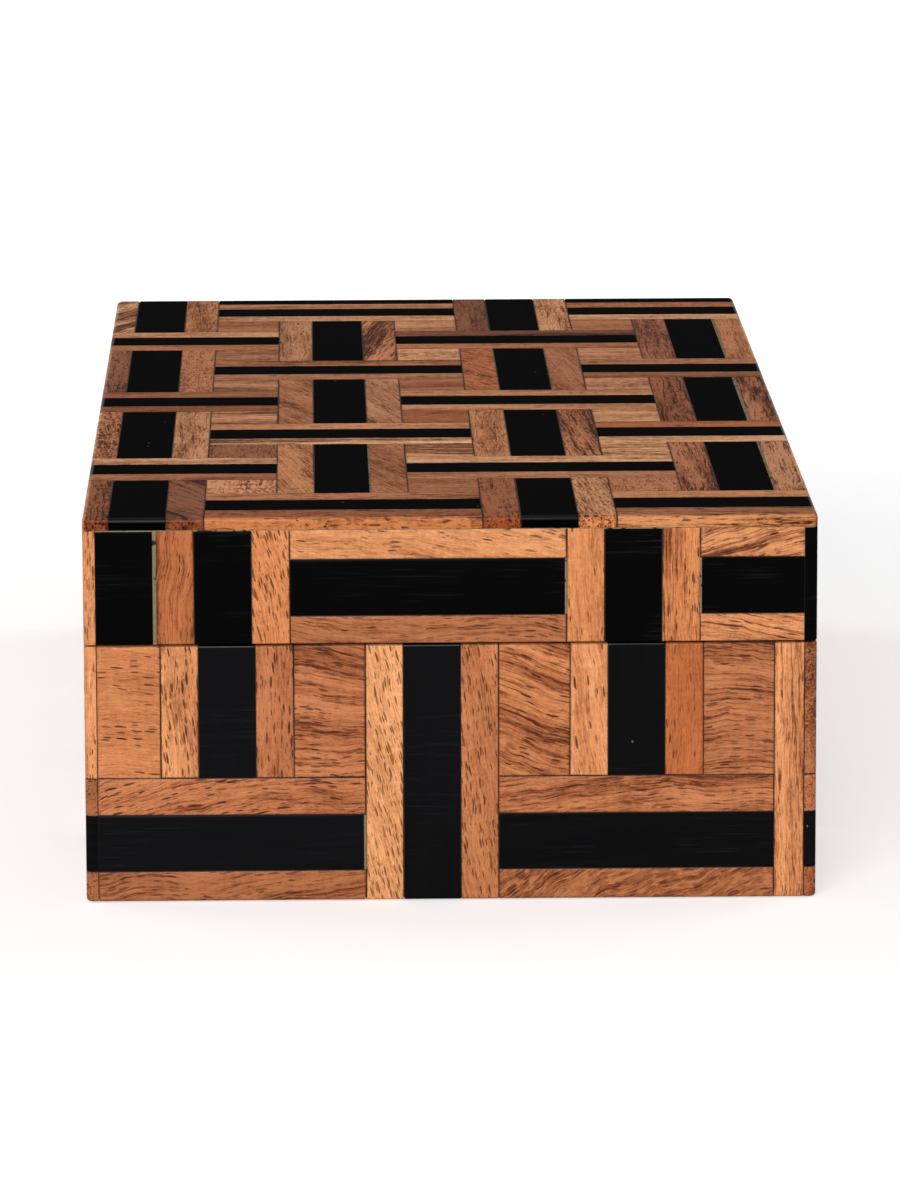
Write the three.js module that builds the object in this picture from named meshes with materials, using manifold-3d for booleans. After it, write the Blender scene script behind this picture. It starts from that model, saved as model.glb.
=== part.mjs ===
// Keepsake box clad with wood strips in a basket weave, with a lid on two stop hinges.
// Millimetres, +Z up. The origin is the middle of the underside. The short near end
// faces -Y, the lid lifts at the -X long side and turns at the +X long side.
import * as THREE from "three";
import { mergeGeometries, mergeVertices } from "three/addons/utils/BufferGeometryUtils.js";
import Module from "manifold-3d";

const wasm = await Module();
wasm.setup();

// Whole box
const boxWidth = 150;
const boxLength = 300;
const boxHeight = 80;
const bodyHeight = 53.4;
const seamGap = 0.4;
const cornerRadius = 1.5;
const edgeRadius = 0.8;

// Carcass
const wallThickness = 7.5;
const cornerRabbet = 4;
const boardRabbet = 3.5;
const floorBoardThickness = 5;
const topBoardThickness = 5;
const glueLine = 0.1;

// Soft linings
const feltThickness = 1;
const velvetThickness = 1.5;
const liningClearance = 0.3;

// Cladding: tiles and black strips stand on a thin backing
const claddingThickness = 2.5;
const backingThickness = 0.5;
const blackStripWidth = 11.7;
const woodStripWidth = 7.8;
const jointLine = 0.3;
const rimLine = 0.3;
const inlayClearance = 0.05;
const leastTile = 2;

// Weave on the sides, measured from each side's left end and from the table
const sideFirstColumn = 29.25;
const endColumnPitch = 41.9;
const longColumnPitch = 42.8;
const sideFirstRow = 12.2;
const sideRowPitch = 53.2;
const lidPatternShift = -0.7;

// Weave on the top, measured from its left edge and from the near end
const topFirstColumn = 11.2;
const topColumnPitch = 42.05;
const topFirstRow = 14.9;
const topRowPitch = 44.05;

// Stop hinges
const hingeInset = 85;
const hingeLength = 30;
const leafReach = 8;
const leafThickness = 1.2;
const leafClearance = 0.1;
const knuckleRadius = 1.9;
const knuckleGap = 0.3;
const faceClearance = 0.3;
const pinRadius = 0.9;
const pinClearance = 0.1;
const openAngleDegrees = 100;
const stopToeLength = 1.6;
const stopClearance = 0.1;

// Countersunk screws
const screwSpacing = 18;
const screwHeadRadius = 2;
const screwShankRadius = 1;
const screwLength = 11;
const screwTipLength = 2;
const screwSlotWidth = 0.5;
const screwSlotDepth = 0.5;
const screwClearance = 0.1;

// How far a cutting solid runs past what it cuts, and the faces on round pieces and edges
const overrun = 1;
const roundSides = 16;
const cornerSteps = 3;
const edgeSteps = 2;

// Values worked out from the sizes above
const halfBundle = blackStripWidth / 2 + woodStripWidth;
const carcassHalfWidth = boxWidth / 2 - claddingThickness - glueLine;
const carcassHalfLength = boxLength / 2 - claddingThickness - glueLine;
const innerHalfWidth = carcassHalfWidth - wallThickness;
const innerHalfLength = carcassHalfLength - wallThickness;
const lidBottom = bodyHeight + seamGap;
const carcassTop = boxHeight - claddingThickness - glueLine;
const floorBoardBottom = feltThickness + glueLine;
const floorBoardTop = floorBoardBottom + floorBoardThickness;
const topBoardBottom = carcassTop - topBoardThickness;
const pinOffset = knuckleRadius + faceClearance;
const pinPlace = new THREE.Vector3(boxWidth / 2 + pinOffset, 0, bodyHeight + seamGap / 2);
const knuckleLength = (hingeLength - 2 * knuckleGap) / 3;
const hinges = [
  { name: "near_hinge", y: hingeInset - boxLength / 2 },
  { name: "far_hinge", y: boxLength / 2 - hingeInset },
];
const screwOffsets = [-screwSpacing / 2, screwSpacing / 2];
const screwX = boxWidth / 2 - (claddingThickness + leafReach) / 2;

const materials = {
  tileWood: new THREE.MeshStandardMaterial({ color: 0xb0703f, roughness: 0.35, metalness: 0 }),
  blackWood: new THREE.MeshStandardMaterial({ color: 0x0d0d10, roughness: 0.25, metalness: 0 }),
  carcassWood: new THREE.MeshStandardMaterial({ color: 0x9a6b43, roughness: 0.6, metalness: 0 }),
  velvet: new THREE.MeshStandardMaterial({ color: 0x2b1512, roughness: 0.95, metalness: 0 }),
  felt: new THREE.MeshStandardMaterial({ color: 0x1f1f1f, roughness: 1, metalness: 0 }),
  brass: new THREE.MeshStandardMaterial({ color: 0xb8924a, roughness: 0.35, metalness: 1 }),
};

// Solids and meshes

function solidOf(geometry) {
  geometry.deleteAttribute("normal");
  geometry.deleteAttribute("uv");
  const merged = mergeVertices(geometry);
  const corners = merged.index.array;
  const triangles = [];
  for (let first = 0; first < corners.length; first += 3) {
    const triangle = corners.slice(first, first + 3);
    if (new Set(triangle).size === 3) triangles.push(...triangle);
  }
  return new wasm.Manifold(
    new wasm.Mesh({
      numProp: 3,
      vertProperties: new Float32Array(merged.attributes.position.array),
      triVerts: new Uint32Array(triangles),
    }),
  );
}

function geometryOf(solid) {
  const mesh = solid.getMesh();
  const geometry = new THREE.BufferGeometry();
  geometry.setAttribute("position", new THREE.BufferAttribute(mesh.vertProperties, 3));
  geometry.setIndex(new THREE.BufferAttribute(mesh.triVerts, 1));
  geometry.computeVertexNormals();
  return geometry;
}

function boxShape([x0, x1], [y0, y1], [z0, z1]) {
  const geometry = new THREE.BoxGeometry(x1 - x0, y1 - y0, z1 - z0);
  return geometry.translate((x0 + x1) / 2, (y0 + y1) / 2, (z0 + z1) / 2);
}

function block(x, y, z) {
  return solidOf(boxShape(x, y, z));
}

function rod(radius, [y0, y1]) {
  const geometry = new THREE.CylinderGeometry(radius, radius, y1 - y0, roundSides);
  return solidOf(geometry.translate(0, (y0 + y1) / 2, 0));
}

// The span between two distances on one side, +1 or -1, of a middle plane
function sideSpan(side, from, to) {
  return side > 0 ? [from, to] : [-to, -from];
}

function named(name, solid, material) {
  const mesh = new THREE.Mesh(geometryOf(solid), material);
  mesh.name = name;
  return mesh;
}

// The whole box as one block with rounded corners and edges
function roundedBoxShape() {
  const x = boxWidth / 2 - cornerRadius;
  const y = boxLength / 2 - cornerRadius;
  const outline = new THREE.Shape();
  const quarter = Math.PI / 2;
  outline.absarc(x, y, cornerRadius, 0, quarter);
  outline.absarc(-x, y, cornerRadius, quarter, 2 * quarter);
  outline.absarc(-x, -y, cornerRadius, 2 * quarter, 3 * quarter);
  outline.absarc(x, -y, cornerRadius, 3 * quarter, 4 * quarter);
  const geometry = new THREE.ExtrudeGeometry(outline, {
    depth: boxHeight - 2 * edgeRadius,
    curveSegments: cornerSteps,
    bevelSize: edgeRadius,
    bevelOffset: -edgeRadius,
    bevelThickness: edgeRadius,
    bevelSegments: edgeSteps,
  });
  return geometry.translate(0, 0, edgeRadius);
}

// Basket weave

// A tile that comes near the area's edge runs out to it, and one too thin to cut is left out.
function clippedSpan([low, high], [from, to]) {
  const start = low < from + leastTile ? from : low;
  const end = high > to - leastTile ? to : high;
  return end - start < leastTile ? null : [start, end];
}

// Wood tiles of the weave inside one area, as spans of u (right) and v (up).
// Bundles of wood, black and wood cross in columns and rows, and at each crossing the upright
// or the lying bundle is over, in turn. The wood leaves room for black strips and filler.
function woodTiles(weave, area) {
  const column = (i) => weave.firstColumn + i * weave.columnPitch;
  const row = (j) => weave.firstRow + j * weave.rowPitch;
  const lastColumn = Math.ceil((area.u[1] - weave.firstColumn) / weave.columnPitch);
  const lastRow = Math.ceil((area.v[1] - weave.firstRow) / weave.rowPitch);
  const strips = [
    [-halfBundle, -blackStripWidth / 2],
    [blackStripWidth / 2, halfBundle],
  ];
  const tiles = [];
  const addTile = (u, v) => {
    const tile = { u: clippedSpan(u, area.u), v: clippedSpan(v, area.v) };
    if (tile.u && tile.v && !weave.isBlack(u, v)) tiles.push(tile);
  };
  for (let i = -1; i <= lastColumn; i += 1) {
    for (let j = -1; j <= lastRow; j += 1) {
      const toNextColumn = [column(i) + halfBundle, column(i + 1) - halfBundle];
      const toNextRow = [row(j) + halfBundle, row(j + 1) - halfBundle];
      addTile(toNextColumn, toNextRow);
      const upright = Math.abs(i + j) % 2 === weave.uprightWhen;
      for (const strip of strips) {
        if (upright) {
          const across = strip.map((offset) => column(i) + offset);
          addTile(across, [row(j - 1) + halfBundle, row(j + 1) - halfBundle]);
        } else {
          const across = strip.map((offset) => row(j) + offset);
          addTile([column(i - 1) + halfBundle, column(i + 1) - halfBundle], across);
        }
      }
    }
  }
  return tiles;
}

// The body's sides and the lid's sides are one weave, sawn apart at the seam.
function sideWeave(columnPitch, onLid) {
  const firstColumn = sideFirstColumn + (onLid ? lidPatternShift : 0);
  return {
    firstColumn,
    columnPitch,
    firstRow: sideFirstRow,
    rowPitch: sideRowPitch,
    uprightWhen: 1,
    // The left end of each lid side is closed by one upright black strip.
    isBlack: (u) => onLid && u[1] < firstColumn - blackStripWidth,
  };
}

function topWeave() {
  const lastRow = Math.floor((boxLength - topFirstRow) / topRowPitch);
  const lastBundleEnd = topFirstRow + lastRow * topRowPitch + halfBundle;
  return {
    firstColumn: topFirstColumn,
    columnPitch: topColumnPitch,
    firstRow: topFirstRow,
    rowPitch: topRowPitch,
    uprightWhen: 0,
    // What is left behind the last row is closed with black strip.
    isBlack: (u, v) => v[0] > lastBundleEnd - leastTile,
  };
}

// Rounding an edge can part crumbs from the thin filler, and the piece is what stays whole.
function mainBody(solid) {
  const bodies = solid.decompose();
  return bodies.reduce((largest, body) => (body.volume() > largest.volume() ? body : largest));
}

// One clad face, as a group of its wood tiles and its black strips. The area is in the
// weave's u and v, which lie along the group's X and Y, and the outside is at +Z.
function cladFace(name, weave, area, place, cuts = []) {
  const line = (value, edge) => inlayClearance + (value === edge ? rimLine : jointLine / 2);
  const inset = ([low, high], [from, to]) => [low + line(low, from), high - line(high, to)];
  const grown = ([low, high]) => [low - inlayClearance, high + inlayClearance];
  const tiles = woodTiles(weave, area).map(({ u, v }) => [inset(u, area.u), inset(v, area.v)]);
  const tileDepth = [backingThickness / 2, claddingThickness];
  const pocketDepth = [0, claddingThickness + overrun];
  const tileShapes = tiles.map(([u, v]) => boxShape(u, v, tileDepth));
  const pocketShapes = tiles.map(([u, v]) => boxShape(grown(u), grown(v), pocketDepth));
  const ground = block(area.u, area.v, [backingThickness + glueLine, claddingThickness]);
  let wood = block(area.u, area.v, [0, backingThickness]).add(solidOf(mergeGeometries(tileShapes)));
  let black = ground.subtract(solidOf(mergeGeometries(pocketShapes)));
  const outside = solidOf(roundedBoxShape().applyMatrix4(place.clone().invert()));
  for (const cut of cuts) {
    wood = wood.subtract(cut);
    black = black.subtract(cut);
  }
  const face = new THREE.Group();
  face.applyMatrix4(place);
  face.add(named(`${name}_wood_tiles`, mainBody(wood.intersect(outside)), materials.tileWood));
  face.add(named(`${name}_black_strips`, mainBody(black.intersect(outside)), materials.blackWood));
  return face;
}

// Each side is seen from outside: u runs right from its left end, and v up from the table.
const endArea = [claddingThickness + glueLine, boxWidth - claddingThickness - glueLine];
const sides = [
  { name: "near_end", heading: 0, span: boxWidth, carcass: carcassHalfLength, u: endArea },
  { name: "hinge_side", heading: 90, span: boxLength, carcass: carcassHalfWidth, u: [0, boxLength] },
  { name: "far_end", heading: 180, span: boxWidth, carcass: carcassHalfLength, u: endArea },
  { name: "opening_side", heading: 270, span: boxLength, carcass: carcassHalfWidth, u: [0, boxLength] },
];

function sidePlace({ heading, span, carcass }) {
  const turned = new THREE.Matrix4().makeRotationZ(THREE.MathUtils.degToRad(heading));
  const moved = new THREE.Matrix4().makeTranslation(-span / 2, -carcass - glueLine, 0);
  const raised = new THREE.Matrix4().makeRotationX(Math.PI / 2);
  return turned.multiply(moved).multiply(raised);
}

// The part below the seam is the body, at level -1, and the part above it the lid, at +1.
function seamFace(level) {
  return level < 0 ? bodyHeight : lidBottom;
}

// Height that the hinge leaves take from the body or the lid, open towards the seam
function leafRoom(level) {
  const depth = leafThickness + leafClearance;
  return level < 0 ? [bodyHeight - depth, bodyHeight + overrun] : [lidBottom - overrun, lidBottom + depth];
}

// Slots that let the hinge leaves through the hinge side's cladding
function leafSlots(level) {
  const halfSlot = hingeLength / 2 + leafClearance;
  const depth = [-overrun, claddingThickness + overrun];
  return hinges.map(({ y }) => {
    const middle = boxLength / 2 + y;
    return block([middle - halfSlot, middle + halfSlot], leafRoom(level), depth);
  });
}

function cladSides(part, level, v) {
  return sides.map((side) => {
    const columnPitch = side.u === endArea ? endColumnPitch : longColumnPitch;
    const weave = sideWeave(columnPitch, level > 0);
    const cuts = side.name === "hinge_side" ? leafSlots(level) : [];
    return cladFace(`${part}_${side.name}`, weave, { u: side.u, v }, sidePlace(side), cuts);
  });
}

function cladTop() {
  const corner = [-boxWidth / 2, -boxLength / 2, boxHeight - claddingThickness];
  const place = new THREE.Matrix4().makeTranslation(...corner);
  return cladFace("lid_top", topWeave(), { u: [0, boxWidth], v: [0, boxLength] }, place);
}

// Carcass

// A long wall holds the end walls in rabbets at its ends, and a board in one along its length.
function longWall(side, z, boardSpan) {
  const acrossBoard = sideSpan(side, innerHalfWidth - overrun, innerHalfWidth + boardRabbet);
  const acrossEnd = sideSpan(side, innerHalfWidth - overrun, innerHalfWidth + cornerRabbet);
  const fullLength = [-carcassHalfLength - overrun, carcassHalfLength + overrun];
  const fullHeight = [z[0] - overrun, z[1] + overrun];
  const acrossWall = sideSpan(side, innerHalfWidth, carcassHalfWidth);
  let wall = block(acrossWall, [-carcassHalfLength, carcassHalfLength], z);
  wall = wall.subtract(block(acrossBoard, fullLength, boardSpan));
  for (const end of [-1, 1]) {
    const alongEnd = sideSpan(end, innerHalfLength - glueLine, carcassHalfLength + overrun);
    wall = wall.subtract(block(acrossEnd, alongEnd, fullHeight));
  }
  return wall;
}

function endWall(end, z, boardSpan) {
  const halfWidth = innerHalfWidth + cornerRabbet - glueLine;
  const acrossBoard = sideSpan(end, innerHalfLength - overrun, innerHalfLength + boardRabbet);
  const wall = block([-halfWidth, halfWidth], sideSpan(end, innerHalfLength, carcassHalfLength), z);
  return wall.subtract(block([-halfWidth - overrun, halfWidth + overrun], acrossBoard, boardSpan));
}

// A board or sheet that covers the inside and runs past its edges, or stays back from them
function innerSheet(past, z) {
  const halfWidth = innerHalfWidth + past;
  const halfLength = innerHalfLength + past;
  return block([-halfWidth, halfWidth], [-halfLength, halfLength], z);
}

// A hinge side wall with mortises for the leaves and holes for their screws
function cutForHinges(wall, level) {
  const mortiseX = [boxWidth / 2 - leafReach - leafClearance, boxWidth / 2];
  const halfMortise = hingeLength / 2 + leafClearance;
  let cut = wall;
  for (const { y } of hinges) {
    cut = cut.subtract(block(mortiseX, [y - halfMortise, y + halfMortise], leafRoom(level)));
    for (const offset of screwOffsets) {
      const hole = screwShape(level, screwClearance).translate(screwX, y + offset, seamFace(level));
      cut = cut.subtract(solidOf(hole));
    }
  }
  return cut;
}

// Hinges and screws

// A countersunk screw with its head at the seam, driven down at level -1 and up at +1
function screwShape(level, clearance) {
  const headHeight = screwHeadRadius - screwShankRadius;
  const geometry = new THREE.LatheGeometry(
    [
      new THREE.Vector2(0, -screwLength - clearance),
      new THREE.Vector2(screwShankRadius + clearance, screwTipLength - screwLength),
      new THREE.Vector2(screwShankRadius + clearance, -headHeight),
      new THREE.Vector2(screwHeadRadius + clearance, 0),
      new THREE.Vector2(0, 0),
    ],
    roundSides,
  );
  return geometry.rotateX(-level * (Math.PI / 2));
}

function screw(level) {
  const reach = screwHeadRadius + overrun;
  const slotZ = sideSpan(level, -overrun, screwSlotDepth);
  const slot = block([-screwSlotWidth / 2, screwSlotWidth / 2], [-reach, reach], slotZ);
  return solidOf(screwShape(level, 0)).subtract(slot);
}

const knuckles = [-1, 0, 1].map((place) => {
  const middle = place * (knuckleLength + knuckleGap);
  return [middle - knuckleLength / 2, middle + knuckleLength / 2];
});

// One leaf about its pin, with X away from the box. Its plate stops short of the other
// leaf's knuckles.
function leaf(level, ownKnuckles, otherKnuckles) {
  const plateZ = sideSpan(level, seamGap / 2, seamGap / 2 + leafThickness);
  let solid = block([-pinOffset - leafReach, 0], [-hingeLength / 2, hingeLength / 2], plateZ);
  for (const [from, to] of otherKnuckles) {
    const room = block([-pinOffset, overrun], [from - knuckleGap, to + knuckleGap], plateZ);
    solid = solid.subtract(room);
  }
  for (const span of ownKnuckles) solid = solid.add(rod(knuckleRadius, span));
  if (level > 0) solid = solid.add(stopToe());
  solid = solid.subtract(rod(pinRadius + pinClearance, [-hingeLength, hingeLength]));
  for (const offset of screwOffsets) {
    const place = [screwX - pinPlace.x, offset, (level * seamGap) / 2];
    solid = solid.subtract(solidOf(screwShape(level, screwClearance).translate(...place)));
  }
  return solid;
}

// The toe on the lid leaf's knuckle comes to rest on the edge of the body's leaf.
function stopToe() {
  const reach = pinOffset - stopClearance;
  const geometry = boxShape([0, reach], knuckles[1], [0, stopToeLength]);
  return solidOf(geometry.rotateY(Math.PI - THREE.MathUtils.degToRad(openAngleDegrees)));
}

function hingeParts(level, partName) {
  return hinges.map(({ name, y }) => {
    const [lower, middle, upper] = knuckles;
    const knuckleSets = level < 0 ? [[lower, upper], [middle]] : [[middle], [lower, upper]];
    const group = new THREE.Group();
    group.position.set(pinPlace.x, y, pinPlace.z);
    group.add(named(`${name}_${partName}_leaf`, leaf(level, ...knuckleSets), materials.brass));
    screwOffsets.forEach((offset, index) => {
      const mesh = named(`${name}_${partName}_screw_${index + 1}`, screw(level), materials.brass);
      mesh.position.set(screwX - pinPlace.x, offset, (level * seamGap) / 2);
      group.add(mesh);
    });
    if (level < 0) {
      group.add(named(`${name}_pin`, rod(pinRadius, [-hingeLength / 2, hingeLength / 2]), materials.brass));
    }
    return group;
  });
}

// Body

function bodyGroup() {
  const { carcassWood, velvet, felt } = materials;
  const z = [0, bodyHeight];
  const boardRoom = [-overrun, floorBoardTop + glueLine];
  const hingeWall = cutForHinges(longWall(1, z, boardRoom), -1);
  const velvetBottom = floorBoardTop + glueLine;
  const boardEdge = boardRabbet - glueLine;
  const group = new THREE.Group();
  group.add(named("body_hinge_side_wall", hingeWall, carcassWood));
  group.add(named("body_opening_side_wall", longWall(-1, z, boardRoom), carcassWood));
  group.add(named("body_near_end_wall", endWall(-1, z, boardRoom), carcassWood));
  group.add(named("body_far_end_wall", endWall(1, z, boardRoom), carcassWood));
  group.add(named("body_floor_board", innerSheet(boardEdge, [floorBoardBottom, floorBoardTop]), carcassWood));
  group.add(named("base_felt", innerSheet(boardEdge, [0, feltThickness]), felt));
  const velvetSpan = [velvetBottom, velvetBottom + velvetThickness];
  group.add(named("body_floor_velvet", innerSheet(-liningClearance, velvetSpan), velvet));
  group.add(...cladSides("body", -1, z));
  group.add(...hingeParts(-1, "body"));
  return group;
}

// Lid, which opens when its group turns about Y

function lidGroup() {
  const { carcassWood, velvet } = materials;
  const z = [lidBottom, carcassTop];
  const boardRoom = [topBoardBottom - glueLine, carcassTop + overrun];
  const hingeRail = cutForHinges(longWall(1, z, boardRoom), 1);
  const velvetTop = topBoardBottom - glueLine;
  const parts = new THREE.Group();
  parts.add(named("lid_hinge_side_rail", hingeRail, carcassWood));
  parts.add(named("lid_opening_side_rail", longWall(-1, z, boardRoom), carcassWood));
  parts.add(named("lid_near_end_rail", endWall(-1, z, boardRoom), carcassWood));
  parts.add(named("lid_far_end_rail", endWall(1, z, boardRoom), carcassWood));
  const boardSpan = [topBoardBottom, carcassTop];
  parts.add(named("lid_top_board", innerSheet(boardRabbet - glueLine, boardSpan), carcassWood));
  const velvetSpan = [velvetTop - velvetThickness, velvetTop];
  parts.add(named("lid_velvet", innerSheet(-liningClearance, velvetSpan), velvet));
  parts.add(...cladSides("lid", 1, z));
  parts.add(cladTop());
  parts.add(...hingeParts(1, "lid"));
  parts.position.copy(pinPlace).negate();
  const lid = new THREE.Group();
  lid.position.copy(pinPlace);
  lid.add(parts);
  return lid;
}

const storageBox = new THREE.Group();
storageBox.add(bodyGroup(), lidGroup());

export default storageBox;
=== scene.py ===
"""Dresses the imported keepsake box: wood and black strips, joint lines, brass, velvet and felt.

Lengths are millimetres, and metres on the stage. Meshes are made in metres, in the CAD's frame.
"""

import math
import random
from collections import namedtuple

import bmesh
import bpy
from mathutils import Matrix, Vector


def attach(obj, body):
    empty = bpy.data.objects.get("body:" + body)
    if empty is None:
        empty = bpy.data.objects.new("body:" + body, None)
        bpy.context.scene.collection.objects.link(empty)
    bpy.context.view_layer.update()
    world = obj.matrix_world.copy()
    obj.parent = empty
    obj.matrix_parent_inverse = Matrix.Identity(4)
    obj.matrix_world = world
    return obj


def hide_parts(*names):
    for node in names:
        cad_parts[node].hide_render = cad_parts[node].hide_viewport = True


MM = 0.001
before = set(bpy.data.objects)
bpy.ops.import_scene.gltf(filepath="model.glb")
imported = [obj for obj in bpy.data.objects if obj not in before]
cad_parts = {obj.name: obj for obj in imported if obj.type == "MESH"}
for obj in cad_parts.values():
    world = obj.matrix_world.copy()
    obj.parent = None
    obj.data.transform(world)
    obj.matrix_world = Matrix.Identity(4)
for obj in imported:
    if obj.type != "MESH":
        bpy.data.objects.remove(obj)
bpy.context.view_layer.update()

# Whole box, as in the CAD
BOX_WIDTH = 150.0
BOX_LENGTH = 300.0
BOX_HEIGHT = 80.0
BODY_HEIGHT = 53.4
LID_BOTTOM = 53.8
CORNER_RADIUS = 1.5
EDGE_RADIUS = 0.8
CLADDING = 2.5
GLUE = 0.1

# Weave, as in the CAD. Columns and rows are the middle of the first bundle and the pitch
BLACK_WIDTH = 11.7
WOOD_WIDTH = 7.8
HALF_BLACK = BLACK_WIDTH / 2
HALF_BUNDLE = HALF_BLACK + WOOD_WIDTH
STRIPS = (
    ("a", True, -HALF_BUNDLE, -HALF_BLACK),
    ("m", False, -HALF_BLACK, HALF_BLACK),
    ("b", True, HALF_BLACK, HALF_BUNDLE),
)
LEAST_TILE = 2.0
SIDE_FIRST_COLUMN = 29.25
END_COLUMN_PITCH = 41.9
LONG_COLUMN_PITCH = 42.8
SIDE_ROWS = (12.2, 53.2)
LID_SHIFT = -0.7
TOP_COLUMNS = (11.2, 42.05)
TOP_ROWS = (14.9, 44.05)

# Hinges, as in the CAD
HINGE_YS = (-65.0, 65.0)
HALF_SLOT = 15.1
LEAF_ROOM = 1.3

# How tiles are laid
HALF_JOINT = 0.10
GLUE_INSET = 0.06
CORNER_JITTER = 0.07
HEIGHT_JITTER = 0.012
FILLER_DEPTH = 0.06
FILLER_SHRINK = 0.04
RIM_WIDTH = 0.5
SOILED_DEPTH = 0.2
NEAR = 1e-6
LEAST_CELL = 1e-4
LINE_ROOM = 0.02
LEAST_BESIDE_SLOT = 0.6

# Wide glue lines: how far their area runs on under the tiles, and the one beside a closing strip
LINE_OVERLAP = 0.3
CLOSING_LINE = 0.55
CLOSING_REACH = 0.9
# The pale glue line under the top shows most above black tiles, which stop a little lower
CAP_LINE = 0.12
CAP_REACH = GLUE - 0.01


def linear(*levels):
    """A colour written as 0 to 255 becomes linear light."""
    channels = [level / 255 for level in levels]
    return tuple(c / 12.92 if c <= 0.04045 else ((c + 0.055) / 1.055) ** 2.4 for c in channels)


def clamped(value):
    return max(0.0, min(1.0, value))


# Wood stocks by name, from light to dark
STOCKS = {
    "cream": linear(248, 182, 132),
    "straw": linear(236, 168, 115),
    "honey": linear(223, 151, 102),
    "amber": linear(215, 140, 89),
    "rose": linear(203, 136, 94),
    "tan": linear(199, 126, 81),
    "chestnut": linear(186, 116, 76),
    "rust": linear(189, 107, 62),
    "russet": linear(170, 99, 57),
    "umber": linear(168, 103, 66),
    "mahogany": linear(161, 93, 56),
    "walnut": linear(148, 90, 58),
}
# What the grain shows: pores, dark streaks, light flecks, waves in the grain
FIGURES = {
    "plain": (0.35, 0.25, 0.1, 0.3),
    "dotted": (1.00, 0.20, 0.1, 0.20),
    "streaked": (0.70, 1.00, 0.1, 0.45),
    "curly": (0.45, 0.60, 0.8, 1.0),
    "flecked": (0.55, 0.40, 1.0, 0.4),
    "mottled": (1.00, 0.80, 0.6, 0.6),
    "straight": (0.45, 0.90, 0.1, 0.08),
}
# Share of each stock's colour that a face shows. The top's share is duller and bluer, which is painted sheen
# and shade for the grazing light on the top
STOCK_TINT_AND_PAINTED_SHEEN = {"side": (0.975, 0.94, 0.88), "top": (0.93, 0.926, 0.956)}
# The top's rounded edges show dark end grain, or side grain painted paler so that it looks lit like the
# sides
SIDE_GRAIN_PAINTED_LIGHT = (1.38, 1.50, 1.30)
END_GRAIN_TINT = (0.72, 0.54, 0.40)
END_GRAIN_FIGURE = (1.0, 1.1, 1.0, 0.1)
PALEST_EDGE = linear(230, 152, 98)
# Black wood is always a little blue. The body's is lighter than the lid's, which is a painted reflection of
# the pale floor in the lower strips
BLACK_TONES_AND_FLOOR_REFLECTION = {"body": 0.0042, "lid": 0.0008}
BLACK_SPREAD = (0.8, 1.2)
BLACK_BLUENESS = 1.12
STOCK_CHOICE = "straw honey honey amber amber rose rose tan tan chestnut".split()
STOCK_CHOICE += "chestnut rust umber umber mahogany walnut".split()
FIGURE_CHOICE = "plain plain dotted dotted streaked streaked curly flecked mottled".split()
# Spread of the grain's angle, in degrees, and of a tile's shade, warmth and place in its plank
TILT_SPREAD = 5
SHADE_SPREAD = 0.05
WARMTH_SPREAD = 0.03
PLANK_REACH = 900

# Tiles that the photo shows: kind (upright, lying or square), column and row, then the stock, figure
# and tilt of the tile, or of strip a / strip b. A tilt of 0 is left out
CHOSEN = {
    "body_near_end": """
        s -1 0: tan plain 3, u 0 1: honey dotted 7 / chestnut dotted, s 0 0: chestnut streaked -6,
        u 1 0: straw dotted 14 / tan dotted 8, s 1 0: tan streaked -20,
        u 2 1: honey plain 12 / rust plain, s 2 0: chestnut streaked -4, u 3 0 a: honey straight 1,
        l 0 0: umber streaked 8 / chestnut streaked 10, l 2 0: umber curly 25 / chestnut streaked 4""",
    "lid_near_end": """
        u 0 1: russet streaked -7 / amber dotted 12, l 1 1: umber streaked -4 / honey plain -8,
        u 2 1: amber plain 3 / amber straight 2, l 3 1: honey streaked -10 / honey streaked 12""",
    "body_opening_side": """
        u 6 1 b: honey dotted 3, l 6 0: umber streaked / umber dotted""",
    "lid_opening_side": """
        u 6 1 b: honey dotted""",
    "body_hinge_side": """
        s -1 0: umber mottled, l 0 0: mahogany mottled / chestnut dotted""",
    "lid_top": """
        u 0 0: mahogany mottled / walnut streaked 30, l 1 0: mahogany curly / tan streaked 5,
        u 2 0: mahogany flecked / straw dotted 5, l 3 0: umber streaked / amber plain,
        s 0 0: honey flecked 90, s 1 0: chestnut plain, s 2 0: tan flecked 90,
        l 0 1: chestnut plain / cream dotted, u 1 1: amber plain 10 / tan plain 20,
        l 2 1: rose plain / cream plain, u 3 1: chestnut streaked / rose streaked, s 0 1: umber dotted 90,
        s 1 1: honey streaked, s 2 1: straw mottled, u 0 2: tan curly 5 / honey plain,
        l 1 2: cream streaked / honey plain, u 2 2: amber plain / tan streaked 4,
        l 3 2: cream plain / rust plain, s 0 2: honey streaked, s 1 2: rust plain, s 2 2: straw plain,
        l 0 3: mahogany plain / umber plain, u 1 3: tan plain 20 / rose plain 15,
        l 2 3: honey plain / honey plain, u 3 3: mahogany streaked / chestnut streaked,
        s 0 3: rose streaked, s 1 3: chestnut plain, s 2 3: rose flecked,
        u 0 4: walnut mottled / tan flecked, l 1 4: rose plain / tan streaked,
        u 2 4: rust flecked 25 / chestnut plain 10, l 3 4: umber plain / rose plain, s 0 4: rose dotted,
        s 1 4: straw curly, s 2 4: honey plain, l 0 5: tan plain / straw plain,
        u 1 5: rose plain / amber streaked -8, l 2 5: tan plain / walnut streaked,
        u 3 5: chestnut plain / tan plain, s 0 5: tan plain, s 1 5: honey plain, s 2 5: tan plain,
        u 0 6: straw streaked -30 / amber plain, l 1 6: straw plain / rose plain,
        u 2 6: walnut plain / straw plain, l 3 6: cream plain / tan plain""",
}


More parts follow.
